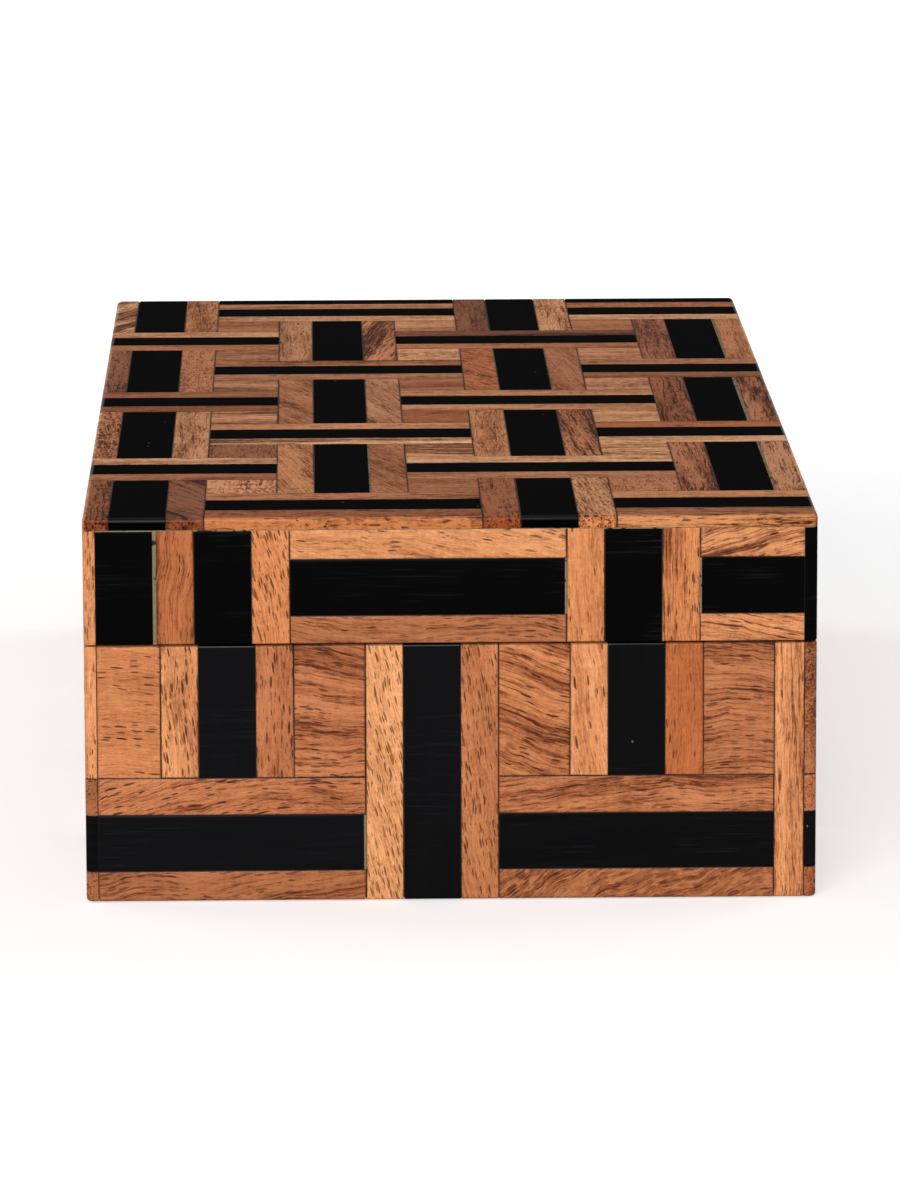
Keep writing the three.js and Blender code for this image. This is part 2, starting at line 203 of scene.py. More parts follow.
def tile_table(text):
    """Stock, figure and tilt by a tile's key."""
    table = {}
    for entry in text.split(","):
        key, looks = entry.split(":")
        looks = looks.split("/")
        strips = (" a", " b") if len(looks) > 1 else ("",)
        for strip, look in zip(strips, looks):
            table[key.strip() + strip] = (*look.split(), 0)[:3]
    return table


# Weave


def clipped(span, limits):
    """A tile that comes near the area's edge runs out to it, and one too thin is left out."""
    low = limits[0] if span[0] < limits[0] + LEAST_TILE else span[0]
    high = limits[1] if span[1] > limits[1] - LEAST_TILE else span[1]
    return None if high - low < LEAST_TILE else (low, high)


def weave_tiles(columns, rows, upright_when, area_u, area_v, left_out):
    """Every tile inside an area, as (key, is wood, u span, v span, lies upright)."""

    def between(lines, i, j):
        """From the bundle on line i to the one on line j."""
        first, pitch = lines
        return first + i * pitch + HALF_BUNDLE, first + j * pitch - HALF_BUNDLE

    def on_line(lines, i, low, high):
        first, pitch = lines
        return first + i * pitch + low, first + i * pitch + high

    found = []

    def add(key, wood, u, v, upright):
        if left_out(u, v):
            return
        u, v = clipped(u, area_u), clipped(v, area_v)
        if u and v:
            found.append((key, wood, u, v, upright))

    last_column = math.ceil((area_u[1] - columns[0]) / columns[1])
    last_row = math.ceil((area_v[1] - rows[0]) / rows[1])
    for i in range(-1, last_column + 1):
        for j in range(-1, last_row + 1):
            add(f"s {i} {j}", True, between(columns, i, i + 1), between(rows, j, j + 1), False)
            upright = abs(i + j) % 2 == upright_when
            for strip, wood, low, high in STRIPS:
                if upright:
                    u, v = on_line(columns, i, low, high), between(rows, j - 1, j + 1)
                else:
                    u, v = between(columns, i - 1, i + 1), on_line(rows, j, low, high)
                add(f"{'u' if upright else 'l'} {i} {j} {strip}", wood, u, v, upright)
    return found


def side_tiles(column_pitch, on_lid, area_u, area_v):
    """A side's tiles. On the lid one black strip closes the weave at its left end."""
    first_column = SIDE_FIRST_COLUMN + (LID_SHIFT if on_lid else 0)

    def left_out(u, v):
        return on_lid and u[1] < first_column - BLACK_WIDTH

    found = weave_tiles((first_column, column_pitch), SIDE_ROWS, 1, area_u, area_v, left_out)
    if on_lid:
        closing = (area_u[0], first_column - HALF_BUNDLE - CLOSING_LINE)
        found.append(("closing", False, closing, area_v, True))
    return found


def top_tiles(area_u, area_v):
    """The top's tiles. Black strips close the weave behind the last row's lying bundles."""
    first, pitch = TOP_ROWS
    last_row = math.floor((BOX_LENGTH - first) / pitch)
    last_end = first + last_row * pitch + HALF_BUNDLE

    def left_out(u, v):
        return v[0] > last_end - LEAST_TILE

    found = weave_tiles(TOP_COLUMNS, TOP_ROWS, 0, area_u, area_v, left_out)
    for key, _, u, _, _ in found.copy():
        kind, _, row, *strip = key.split()
        if kind == "l" and row == str(last_row) and strip == ["m"]:
            found.append((f"closing {key}", False, u, (last_end, area_v[1]), False))
    return found


# Places

# Each clad face: the corner where u and v are 0, and the directions of u, of v and outwards
HALF_WIDTH, HALF_LENGTH = BOX_WIDTH / 2, BOX_LENGTH / 2
FACES = {
    "near_end": ((-HALF_WIDTH, -HALF_LENGTH, 0), (1, 0, 0), (0, 0, 1), (0, -1, 0)),
    "hinge_side": ((HALF_WIDTH, -HALF_LENGTH, 0), (0, 1, 0), (0, 0, 1), (1, 0, 0)),
    "far_end": ((HALF_WIDTH, HALF_LENGTH, 0), (-1, 0, 0), (0, 0, 1), (0, 1, 0)),
    "opening_side": ((-HALF_WIDTH, HALF_LENGTH, 0), (0, -1, 0), (0, 0, 1), (-1, 0, 0)),
    "top": ((-HALF_WIDTH, -HALF_LENGTH, BOX_HEIGHT), (1, 0, 0), (0, 1, 0), (0, 0, 1)),
}


def rounded(outward, upward, radius):
    """Where a point past an edge's arc goes, given how far it is past the arc's middle each way."""
    if outward <= 0 or upward <= 0:
        return outward, upward
    reach = math.hypot(outward, upward)
    if reach <= radius:
        return outward, upward
    return outward * radius / reach, upward * radius / reach


def soften(point, shrink=0.0):
    """Moves a point that is outside the box's rounded corners and edges onto them."""
    half_x = HALF_WIDTH - shrink - CORNER_RADIUS
    half_y = HALF_LENGTH - shrink - CORNER_RADIUS
    x, y, z = point
    past_x, past_y = rounded(abs(x) - half_x, abs(y) - half_y, CORNER_RADIUS)
    if past_x > 0 and past_y > 0:
        x = math.copysign(half_x + past_x, x)
        y = math.copysign(half_y + past_y, y)
        reach = math.hypot(past_x, past_y)
        normal = (math.copysign(past_x / reach, x), math.copysign(past_y / reach, y))
        inside = CORNER_RADIUS - reach
    elif past_x > past_y:
        normal = (math.copysign(1, x), 0)
        inside = CORNER_RADIUS - past_x
    else:
        normal = (0, math.copysign(1, y))
        inside = CORNER_RADIUS - past_y
    middle = BOX_HEIGHT / 2
    past_edge = EDGE_RADIUS - inside
    past_height = abs(z - middle) - (middle - shrink - EDGE_RADIUS)
    new_edge, new_height = rounded(past_edge, past_height, EDGE_RADIUS)
    x += normal[0] * (new_edge - past_edge)
    y += normal[1] * (new_edge - past_edge)
    z += math.copysign(1, z - middle) * (new_height - past_height)
    return Vector((x, y, z))


def on_face(face, u, v, w, shrink=0.0):
    origin, across, up, out = map(Vector, FACES[face])
    return soften(origin + across * u + up * v + out * w, shrink)


# Meshes

# Values for the materials at each point, with their kind and the key that sets them
LAYERS = {
    "grain": ("FLOAT_VECTOR", "vector"),
    "tone": ("FLOAT_COLOR", "color"),
    "figure": ("FLOAT_COLOR", "color"),
    "rim": ("FLOAT", "value"),
    "gloss": ("FLOAT", "value"),
}


def show_smooth(mesh, sharp_degrees):
    mesh.polygons.foreach_set("use_smooth", [True] * len(mesh.polygons))
    mesh.set_sharp_from_angle(angle=math.radians(sharp_degrees))


class Shell:
    """Gathers closed blocks into one mesh, with values for the materials at each point."""

    def __init__(self):
        self.points = []
        self.faces = []
        self.layers = {name: [] for name in LAYERS}

    def add(self, points, faces, **layers):
        first = len(self.points)
        self.points += points
        self.faces += [[first + c for c in face] for face in faces]
        for name, values in layers.items():
            self.layers[name] += values
        return self

    def build(self, name, material, sharp_degrees=30, scale=MM):
        mesh = bpy.data.meshes.new(name)
        mesh.from_pydata([tuple(Vector(p) * scale) for p in self.points], [], self.faces)
        for layer, (kind, key) in LAYERS.items():
            values = self.layers[layer]
            if len(values) != len(self.points):
                continue
            attribute = mesh.attributes.new(layer, kind, "POINT")
            flat = [c for value in values for c in value] if kind != "FLOAT" else values
            attribute.data.foreach_set(key, flat)
        show_smooth(mesh, sharp_degrees)
        mesh.materials.append(material)
        mesh.update()
        piece = bpy.data.objects.new(name, mesh)
        bpy.context.scene.collection.objects.link(piece)
        return piece


def lattice(us, vs, ws):
    """The surface of a block that is cut along these lines: its corners and its quads."""
    index, faces = {}, []

    def quad(*corners):
        faces.append([index.setdefault(corner, len(index)) for corner in corners])

    u, v, w = len(us) - 1, len(vs) - 1, len(ws) - 1
    for i in range(u):
        for j in range(v):
            quad((i, j, w), (i + 1, j, w), (i + 1, j + 1, w), (i, j + 1, w))
            quad((i, j, 0), (i, j + 1, 0), (i + 1, j + 1, 0), (i + 1, j, 0))
    for k in range(w):
        for i in range(u):
            quad((i, 0, k), (i + 1, 0, k), (i + 1, 0, k + 1), (i, 0, k + 1))
            quad((i, v, k), (i, v, k + 1), (i + 1, v, k + 1), (i + 1, v, k))
        for j in range(v):
            quad((0, j, k), (0, j, k + 1), (0, j + 1, k + 1), (0, j + 1, k))
            quad((u, j, k), (u, j + 1, k), (u, j + 1, k + 1), (u, j, k + 1))
    return [(us[i], vs[j], ws[k]) for i, j, k in index], faces


# Edge kinds: distances of the cut lines from the edge, the radius it is eased with, and its inset
Edge = namedtuple("Edge", "lines ease inset")
EDGES = {
    "joint": Edge((0.1, RIM_WIDTH), 0.1, HALF_JOINT),
    "seam": Edge((0.08, 0.25, RIM_WIDTH), 0.25, 0.0),
    "glue": Edge((0.1, RIM_WIDTH), 0.1, GLUE_INSET),
    "capped": Edge((0.1, RIM_WIDTH), 0.06, GLUE_INSET),
    "outer": Edge((0.15, 0.35, 0.6, 0.9, 1.2, 1.5, 1.8), 0.0, 0.0),
    "plain": Edge((), 0.0, 0.01),
}
# Depths at which a tile is cut, by its edges
INNER_DEPTHS = (0.1,)
SEAM_DEPTHS = (0.25, 0.08)
OUTER_DEPTHS = (1.8, 1.5, 1.2, 0.9, 0.6, 0.35, 0.1)


def cut_lines(low, high, low_kind, high_kind):
    half = (high - low) / 2 - LINE_ROOM
    from_low = [low + d for d in (0.0, *EDGES[low_kind].lines) if d < half]
    from_high = [high - d for d in (0.0, *EDGES[high_kind].lines) if d < half]
    return from_low + from_high[::-1]


def inset(u, v, kinds):
    """A tile's spans without the joint at each edge. Kinds are its left, right, lower and upper edge's."""
    left, right, lower, upper = (EDGES[kind].inset for kind in kinds)
    return (u[0] + left, u[1] - right), (v[0] + lower, v[1] - upper)


def tile_block(u, v, kinds, rng, steady):
    """Points in (u, v, w), faces and rim values of one tile. A steady one is laid exactly."""
    left, right, lower, upper = kinds
    u, v = inset(u, v, kinds)
    depths = INNER_DEPTHS
    if "seam" in kinds:
        depths = SEAM_DEPTHS
    if "outer" in kinds:
        depths = OUTER_DEPTHS
    us, vs = cut_lines(*u, left, right), cut_lines(*v, lower, upper)
    points, faces = lattice(us, vs, [-CLADDING, *[-d for d in depths], 0.0])
    jitter = {}
    for a, b in ((0, 0), (0, 1), (1, 0), (1, 1)):
        free = [not steady and kind == "joint" for kind in ((left, right)[a], (lower, upper)[b])]
        jitter[a, b] = [CORNER_JITTER * rng.uniform(-1, 1) * is_free for is_free in free]
    lift = 0.0 if steady else -abs(rng.gauss(0, HEIGHT_JITTER))
    placed, rims = [], []
    for pu, pv, pw in points:
        rim, new, new_w = 1.0, [pu, pv], pw
        for kind, distance, axis, sign in (
            (left, pu - u[0], 0, 1),
            (right, u[1] - pu, 0, -1),
            (lower, pv - v[0], 1, 1),
            (upper, v[1] - pv, 1, -1),
        ):
            if kind in ("joint", "glue") or (kind == "seam" and pw > -SOILED_DEPTH):
                rim = min(rim, distance / RIM_WIDTH)
            ease = EDGES[kind].ease
            if ease and distance < ease and -new_w < ease:
                past, height = rounded(ease - distance, ease + new_w, ease)
                new[axis] += sign * (ease - past - distance)
                new_w = height - ease
        shares = [(p - low) / (high - low) for p, (low, high) in zip((pu, pv), (u, v))]
        for corner, moves in jitter.items():
            weight = math.prod(share if end else 1 - share for share, end in zip(shares, corner))
            new = [p + weight * move for p, move in zip(new, moves)]
        placed.append((*new, new_w + lift * (pw > -CLADDING / 2)))
        rims.append(clamped(rim))
    return placed, faces, rims


def edge_kinds(u, v, area_u, area_v, area_kinds):
    """A tile's edges are joints, apart from those on the area's own edges."""
    ends = zip((*u, *v), (*area_u, *area_v), area_kinds)
    return tuple(kind if abs(end - limit) < NEAR else "joint" for end, limit, kind in ends)


def around_notches(u, v, kinds, notches):
    """Splits a tile into blocks round the hinge slots that cut into it."""
    blocks = [(u, v, kinds)]
    for (slot_u0, slot_u1), (slot_v0, slot_v1) in notches:
        kept = []
        for block in blocks:
            (u0, u1), (v0, v1), (left, right, lower, upper) = block
            if slot_u0 >= u1 or slot_u1 <= u0 or slot_v0 >= v1 or slot_v1 <= v0:
                kept.append(block)
                continue
            if slot_u0 > u0 + LEAST_BESIDE_SLOT:
                kept.append(((u0, slot_u0), (v0, v1), (left, "plain", lower, upper)))
                u0, left = slot_u0, "plain"
            if slot_u1 < u1 - LEAST_BESIDE_SLOT:
                kept.append(((slot_u1, u1), (v0, v1), ("plain", right, lower, upper)))
                u1, right = slot_u1, "plain"
            if slot_v0 > v0:
                kept.append(((u0, u1), (v0, slot_v0), (left, right, lower, "plain")))
            if slot_v1 < v1:
                kept.append(((u0, u1), (slot_v1, v1), (left, right, "plain", upper)))
        blocks = kept
    return blocks


def cell_lines(area, spans, cuts):
    """Where an area's cells meet: at its ends, the spans' ends and the cuts' ends inside it."""
    lines = {*area, *(x for span in spans for x in span)}
    lines |= {x for cut in cuts for x in cut if area[0] < x < area[1]}
    kept = []
    for value in sorted(lines):
        if not kept or value - kept[-1] > LEAST_CELL:
            kept.append(value)
    return kept


def filler_block(tiles, area_u, area_v, notches, pale):
    """The glue lines of a face: every cell of its area that no tile covers, as one solid."""

    def lies_in(places, u, v):
        return any(us[0] < u < us[1] and vs[0] < v < vs[1] for us, vs in places)

    us = cell_lines(area_u, [u for u, _ in tiles], [u for u, _ in notches])
    vs = cell_lines(area_v, [v for _, v in tiles], [v for _, v in notches])
    filled = {}
    for i in range(len(us) - 1):
        for j in range(len(vs) - 1):
            middle = ((us[i] + us[i + 1]) / 2, (vs[j] + vs[j + 1]) / 2)
            if not lies_in(tiles, *middle) and not lies_in(notches, *middle):
                filled[i, j] = float(lies_in(pale, *middle))
    index, faces = {}, []

    def quad(paleness, *corners):
        faces.append([index.setdefault((*c, paleness), len(index)) for c in corners])

    for (i, j), paleness in filled.items():
        ring = ((i, j), (i + 1, j), (i + 1, j + 1), (i, j + 1))
        quad(paleness, *[(*c, 1) for c in ring])
        quad(paleness, *[(*c, 0) for c in (ring[0], *ring[:0:-1])])
        for side, (di, dj) in enumerate(((0, -1), (1, 0), (0, 1), (-1, 0))):
            if (i + di, j + dj) not in filled:
                a, b = ring[side], ring[(side + 1) % 4]
                quad(paleness, (*a, 0), (*b, 0), (*b, 1), (*a, 1))
    points = [(us[i], vs[j], -FILLER_DEPTH if k else -CLADDING) for i, j, k, _ in index]
    return points, faces, [paleness for *_, paleness in index]


# Materials


class Nodes:
    """A short way to write the nodes of a material or world."""

    def __init__(self, owner):
        owner.use_nodes = True
        self.owner, self.tree = owner, owner.node_tree
        self.tree.nodes.clear()

    def add(self, kind, inputs=None, **settings):
        node = self.tree.nodes.new(f"ShaderNode{kind}")
        for key, value in settings.items():
            setattr(node, key, value)
        for key, value in (inputs or {}).items():
            socket = node.inputs[key]
            if isinstance(value, bpy.types.NodeSocket):
                self.tree.links.new(value, socket)
            else:
                socket.default_value = value
        return node

    def fold(self, operation, values):
        """One value from several, taken two at a time from the left."""
        result = values[0]
        for value in values[1:]:
            result = self.add("Math", {0: result, 1: value}, operation=operation).outputs[0]
        return result

    def plus(self, *values):
        return self.fold("ADD", values)

    def minus(self, *values):
        return self.fold("SUBTRACT", values)

    def times(self, *values):
        return self.fold("MULTIPLY", values)

    def most(self, *values):
        return self.fold("MAXIMUM", values)

    def moved(self, vector, offset):
        return self.add("VectorMath", {0: vector, 1: offset}, operation="ADD").outputs[0]

    def scaled(self, vector, x, y=None, z=None):
        """A vector times a number for each axis. One left out is the one before it."""
        y = x if y is None else y
        scale = (x, y, y if z is None else z)
        return self.add("VectorMath", {0: vector, 1: scale}, operation="MULTIPLY").outputs[0]

    def object_place(self):
        """The place on the object, in millimetres."""
        return self.scaled(self.add("TexCoord").outputs["Object"], 1 / MM)

    def attribute(self, name):
        return self.add("Attribute", attribute_name=name).outputs

    def channels(self, colour):
        return self.add("SeparateColor", {"Color": colour}).outputs

    def noise(self, vector, *stretch, detail=1.0, roughness=0.5, scale=1.0):
        """Noise about 0.5. Stretch is as in scaled."""
        if stretch:
            vector = self.scaled(vector, *stretch)
        inputs = {"Vector": vector, "Scale": scale, "Detail": detail, "Roughness": roughness}
        return self.add("TexNoise", inputs).outputs["Fac"]

    def cells(self, vector):
        """Distance to the middle of a random cell, and three chances of that cell."""
        cell = self.add("TexVoronoi", {"Vector": vector, "Scale": 1.0}).outputs
        return cell["Distance"], self.channels(cell["Color"])

    def ramp(self, value, low, high, to_low=0.0, to_high=1.0, smooth=True):
        inputs = {"Value": value, "From Min": low, "From Max": high, "To Min": to_low, "To Max": to_high}
        kind = "SMOOTHSTEP" if smooth else "LINEAR"
        return self.add("MapRange", inputs, interpolation_type=kind).outputs[0]

    def mix(self, factor, first, second, blend="MIX"):
        inputs = {"Factor": factor, 6: first, 7: second}
        return self.add("Mix", data_type="RGBA", blend_type=blend, inputs=inputs).outputs[2]

    def bump(self, height, reach, strength):
        """Normals from a height between 0 and 1 that stands for this reach, in millimetres."""
        inputs = {"Height": height, "Distance": reach * MM, "Strength": strength}
        return self.add("Bump", inputs).outputs[0]

    def surface(self, **inputs):
        shader = self.add("BsdfPrincipled", {k.replace("_", " "): v for k, v in inputs.items()})
        self.add("OutputMaterial", {"Surface": shader.outputs[0]})
        return self.owner


def new_material(name):
    return Nodes(bpy.data.materials.new(name))


# Multipliers of a stock's colour from the palest wood to the darkest, against how dark the grain is
GRAIN_SHADES = (
    (-0.5, (1.34, 1.44, 1.52)),
    (-0.15, (1.10, 1.13, 1.15)),
    (0.15, (0.90, 0.86, 0.82)),
    (0.5, (0.60, 0.50, 0.44)),
    (0.85, (0.31, 0.22, 0.18)),
    (1.2, (0.13, 0.08, 0.065)),
)
SHADE_TOP = 1.6
# Noise in the grain: waves per mm along and across it, detail, roughness, and where it starts
GRAIN_NOISE = {
    "bend": (0.030, 0.014, 1, 0.5, 0.0),
    "ripple": (0.13, 0.05, 2, 0.5, 0.0),
    "broad": (0.011, 0.14, 2, 0.5, 0.0),
    "streak": (0.036, 0.70, 5, 0.68, 31.0),
    "line": (0.07, 1.9, 3, 0.6, 57.0),
    "fibre": (0.26, 2.7, 4, 0.66, 83.0),
    "grit": (1.3, 2.9, 2, 0.6, 19.0),
    "cross": (1.05, 0.17, 2, 0.5, 0.0),
    "fleck": (0.38, 1.05, 2, 0.55, 7.0),
    "patch": (0.10, 0.24, 2, 0.5, 0.0),
}
# Pores: where their cells start, cells per mm, and size. The tints are of pores and soiled edges
LARGE_PORES = ((0.0, 0.0, 0.0), (0.32, 1.95, 1.95), 0.37)
SMALL_PORES = ((411.0, 97.0, 53.0), (0.60, 3.9, 3.9), 0.30)
SPECKS = ((41.0, 207.0, 153.0), (1.4, 5.4, 5.4), 0.30)
PORE_TINT = (0.09, 0.055, 0.045, 1)
SOIL = (0.055, 0.028, 0.016, 1)
# Wear has polished the top's rounded edge, and the black strips on the body's rim
ARRIS_COAT = 0.18
ARRIS_FADE = 0.25
ARRIS_MARGIN = 0.1
RIM_POLISH = 5.0
RIM_REACH = 0.2


def grain_shade(n, dark):
    """The multiplier for a darkness value."""
    low, high = GRAIN_SHADES[0][0], GRAIN_SHADES[-1][0]
    node = n.add("ValToRGB", {0: n.ramp(dark, low, high, smooth=False)})
    stops = node.color_ramp.elements
    while len(stops) < len(GRAIN_SHADES):
        stops.new(0.5)
    for stop, (value, shade) in zip(stops, GRAIN_SHADES):
        stop.position = (value - low) / (high - low)
        stop.color = (*[c / SHADE_TOP for c in shade], 1)
    return n.scaled(node.outputs[0], SHADE_TOP)


def dashes(n, place, pores, amount, ragged):
    """Open pores cut lengthwise: a dash in each cell that the amount lets through."""
    start, cell, size = pores
    if any(start):
        place = n.moved(place, start)
    distance, chances = n.cells(n.scaled(place, *cell))
    present = n.ramp(n.minus(amount, chances[0]), 0.0, 0.08)
    width = n.plus(size * 0.6, n.times(chances[1], size * 0.7))
    inside = n.ramp(n.minus(width, n.plus(distance, ragged)), -0.04, 0.07)
    depth = n.plus(0.45, n.times(chances[2], 0.55))
    return n.times(inside, present, depth)


def wood_nodes(n, place, tone, pores, streaks, flecks, waves, contrast=1.0):
    """The colour, roughness and height of wood whose grain runs along X of place, in millimetres."""

    def field(name):
        along, across, detail, roughness, start = GRAIN_NOISE[name]
        where = n.scaled(place, along, across)
        if start:
            where = n.moved(where, (start, start, start))
        return n.noise(where, detail=detail, roughness=roughness)

    def swing(value, low, reach):
        """A value that lies evenly about 0.5 becomes one from -reach to reach."""
        return n.ramp(value, low, 1 - low, -reach, reach, smooth=False)

    ripple = n.times(swing(field("ripple"), 0.25, 0.7), n.plus(0.3, waves))
    shift = n.plus(n.times(swing(field("bend"), 0.25, 5.0), waves), ripple)
    place = n.moved(place, n.add("CombineXYZ", {1: shift}).outputs[0])

    fibre, grit, patch = field("fibre"), field("grit"), field("patch")
    streak = n.ramp(field("streak"), 0.50, 0.68)
    line = n.ramp(field("line"), 0.52, 0.66)
    fleck = n.ramp(field("fleck"), 0.50, 0.62)
    dark = n.plus(
        n.times(swing(field("broad"), 0.35, 0.28), n.plus(0.35, streaks)),
        n.times(streak, streaks, 0.60),
        n.times(line, n.plus(0.14, n.times(streaks, 0.45))),
        n.times(swing(fibre, 0.25, 1.0), n.plus(0.32, n.times(streaks, 0.14))),
        swing(grit, 0.25, 0.16),
        n.times(swing(field("cross"), 0.3, 0.10), n.plus(0.5, flecks)),
        swing(patch, 0.3, 0.10),
    )
    dark = n.times(n.minus(dark, n.times(fleck, flecks, 0.75)), contrast)
    colour = n.mix(1.0, tone, grain_shade(n, dark), "MULTIPLY")

    ragged = swing(grit, 0.25, 0.05)
    amount = n.times(pores, n.ramp(patch, 0.36, 0.58, 0.35, 1.0))
    fewer = n.times(amount, 0.4)
    large = dashes(n, place, LARGE_PORES, amount, ragged)
    small = dashes(n, place, SMALL_PORES, fewer, ragged)
    specks = dashes(n, place, SPECKS, n.plus(0.15, fewer), ragged)
    pore = n.most(large, n.times(small, 0.85), n.times(specks, 0.45))
    hole = n.mix(1.0, tone, PORE_TINT, "MULTIPLY")
    colour = n.mix(n.times(pore, 0.95), colour, hole)
    height = n.minus(n.times(fibre, 0.15), pore)
    rough = n.plus(n.ramp(fibre, 0.3, 0.7, 0.36, 0.46, smooth=False), n.times(pore, 0.2))
    return colour, rough, height


def polish(n, coat):
    """Lacquer, which wear has polished at the points with gloss."""
    return n.plus(n.times(n.attribute("gloss")["Fac"], ARRIS_COAT), coat)


def tile_wood(name, coat, contrast, worn_edge):
    n = new_material(name)
    figure, place = n.attribute("figure"), n.attribute("grain")["Vector"]
    pores, streaks, flecks, *_ = n.channels(figure["Color"])
    tone = n.attribute("tone")["Color"]
    look = (pores, streaks, flecks, figure["Alpha"])
    colour, rough, height = wood_nodes(n, place, tone, *look, contrast)
    wander = n.noise(place, 2.2, detail=2, roughness=0.6)
    edge = n.plus(n.attribute("rim")["Fac"], n.times(n.minus(wander, 0.5), 1.6))
    stain = n.ramp(edge, 0.0, 0.6, 1.0, 0.0)
    return n.surface(
        Base_Color=n.mix(n.times(stain, 0.45), colour, SOIL),
        Roughness=rough,
        Normal=n.bump(height, 0.06, 0.7),
        Specular_IOR_Level=0.0,
        Coat_Weight=polish(n, coat) if worn_edge else coat,
        Coat_Roughness=0.2,
    )


def black_wood(name, coat, speck_share, rubbed_level):
    """Black wood with dust and hairline scratches, which run level or along the grain."""
    n = new_material(name)
    place, tone = n.attribute("grain")["Vector"], n.attribute("tone")["Color"]
    soft = n.noise(place, 0.02, 0.3, detail=2)
    shade = n.mix(1.0, tone, n.mix(soft, (0.7, 0.7, 0.72, 1), (1.3, 1.3, 1.35, 1)), "MULTIPLY")
    if rubbed_level:
        where = n.object_place()
        scratch = n.ramp(n.noise(where, 0.09, 0.09, 4.6, detail=2), 0.57, 0.70)
        patch = n.ramp(n.noise(where, 0.05, 0.05, 0.09), 0.42, 0.62)
    else:
        scratch = n.ramp(n.noise(place, 0.06, 5.5, detail=2), 0.64, 0.74)
        patch = n.ramp(soft, 0.5, 0.7)
    scratch = n.times(scratch, patch)
    distance, chances = n.cells(n.scaled(place, 0.11, 0.16))
    present = n.ramp(chances[1], speck_share + 0.05, speck_share)
    speck = n.times(n.ramp(distance, 0.042, 0.028), present)
    colour = n.mix(n.times(scratch, 0.4), shade, (0.020, 0.020, 0.024, 1))
    height = n.minus(0.0, n.plus(n.times(scratch, 0.3), speck))
    return n.surface(
        Base_Color=n.mix(n.times(speck, 0.7), colour, (0.20, 0.18, 0.15, 1)),
        Roughness=n.ramp(scratch, 0.0, 1.0, 0.28, 0.5, smooth=False),
        Normal=n.bump(height, 0.04, 0.5),
        Specular_IOR_Level=0.0,
        Coat_Weight=polish(n, coat),
        Coat_Roughness=0.12,
    )


def joint_filler(name):
    n = new_material(name)
    place = n.attribute("grain")["Vector"]
    grain = n.noise(place, detail=3, roughness=0.7, scale=1.4)
    dark = n.mix(grain, (0.012, 0.007, 0.005, 1), (0.050, 0.028, 0.018, 1))
    pale = n.mix(grain, (0.13, 0.10, 0.05, 1), (0.32, 0.25, 0.14, 1))
    paleness = n.channels(n.attribute("tone")["Color"])[0]
    crumble = n.ramp(n.noise(place, detail=2, scale=0.5), 0.36, 0.42)
    colour = n.mix(n.times(paleness, crumble), dark, pale)
    normal = n.bump(grain, 0.05, 0.6)
    return n.surface(Base_Color=colour, Roughness=0.8, Normal=normal, Specular_IOR_Level=0.1)


# Cladding

wood_for_sides = tile_wood("tile_wood_sides", 0.25, 1.1, worn_edge=False)
wood_for_top = tile_wood("tile_wood_top", 0.055, 1.7, worn_edge=True)
black_for_sides = black_wood("black_wood_sides", 0.042, 0.3, rubbed_level=True)
black_for_top = black_wood("black_wood_top", 0.010, 0.75, rubbed_level=False)
filler_material = joint_filler("joint_filler")


def tile_values(key, chosen, upright, rng, on_top):
    """Colour, figure and grain angle of one wood tile. Grain waves less on the top's uprights."""
    stock, figure = rng.choice(STOCK_CHOICE), rng.choice(FIGURE_CHOICE)
    tilt = rng.gauss(0, TILT_SPREAD)
    if key in chosen:
        stock, figure, tilt = chosen[key]
    look = FIGURES[figure]
    if on_top and upright:
        look = (look[0] * 0.5, look[1] + 0.25, look[2], look[3] * 0.2)
    shade = 1 + rng.uniform(-SHADE_SPREAD, SHADE_SPREAD)
    warmth = 1 + rng.uniform(-WARMTH_SPREAD, WARMTH_SPREAD)
    # the top's tint paints in the sheen and shade of its grazing light
    tint = STOCK_TINT_AND_PAINTED_SHEEN["top" if on_top else "side"]
    red, green, blue = [c * t for c, t in zip(STOCKS[stock], tint)]
    tone = (red * shade, green * shade * warmth, blue * shade * warmth, 1.0)
    angle = math.radians(float(tilt)) + (math.pi / 2 if upright else 0)
    return tone, look, angle


def edge_look(point, upright, is_wood, tone, figure):
    """Tone, figure and gloss of a point of the top. Its rounded edge is worn and shows speckled end grain,
    or side grain painted paler so that it looks lit like the sides."""
    u, v, w = point
    from_side, from_end = min(u, BOX_WIDTH - u), min(v, BOX_LENGTH - v)
    share = clamped((EDGE_RADIUS - min(from_side, from_end)) / ARRIS_FADE)
    gloss = share * clamped((w + EDGE_RADIUS + ARRIS_MARGIN) / ARRIS_FADE)
    if is_wood:
        end_grain = (from_end < from_side) == upright
        # side grain gets painted light, end grain its own darker tone
        tint = END_GRAIN_TINT if end_grain else SIDE_GRAIN_PAINTED_LIGHT
        edge = [min(c * t, max(c, palest)) for c, t, palest in zip(tone, tint, PALEST_EDGE)]
        tone = (*[c + share * (e - c) for c, e in zip(tone, edge)], 1.0)
        if end_grain:
            figure = [f + share * (e - f) for f, e in zip(figure, END_GRAIN_FIGURE)]
    return tone, figure, gloss


def rim_gloss(v, w, seam):
    """Polish of a black strip's point, which is high on the body's rounded rim."""
    return RIM_POLISH if seam - v < RIM_REACH and w > -RIM_REACH else 0.0


def grain_places(points, angle, rng):
    """Each point's place in its tile's own wood: along the grain, across it and into it."""
    along, across, into = [rng.uniform(0, PLANK_REACH) for _ in range(3)]
    cos, sin = math.cos(angle), math.sin(angle)
    return [(along + u * cos + v * sin, across - u * sin + v * cos, into + w) for u, v, w in points]


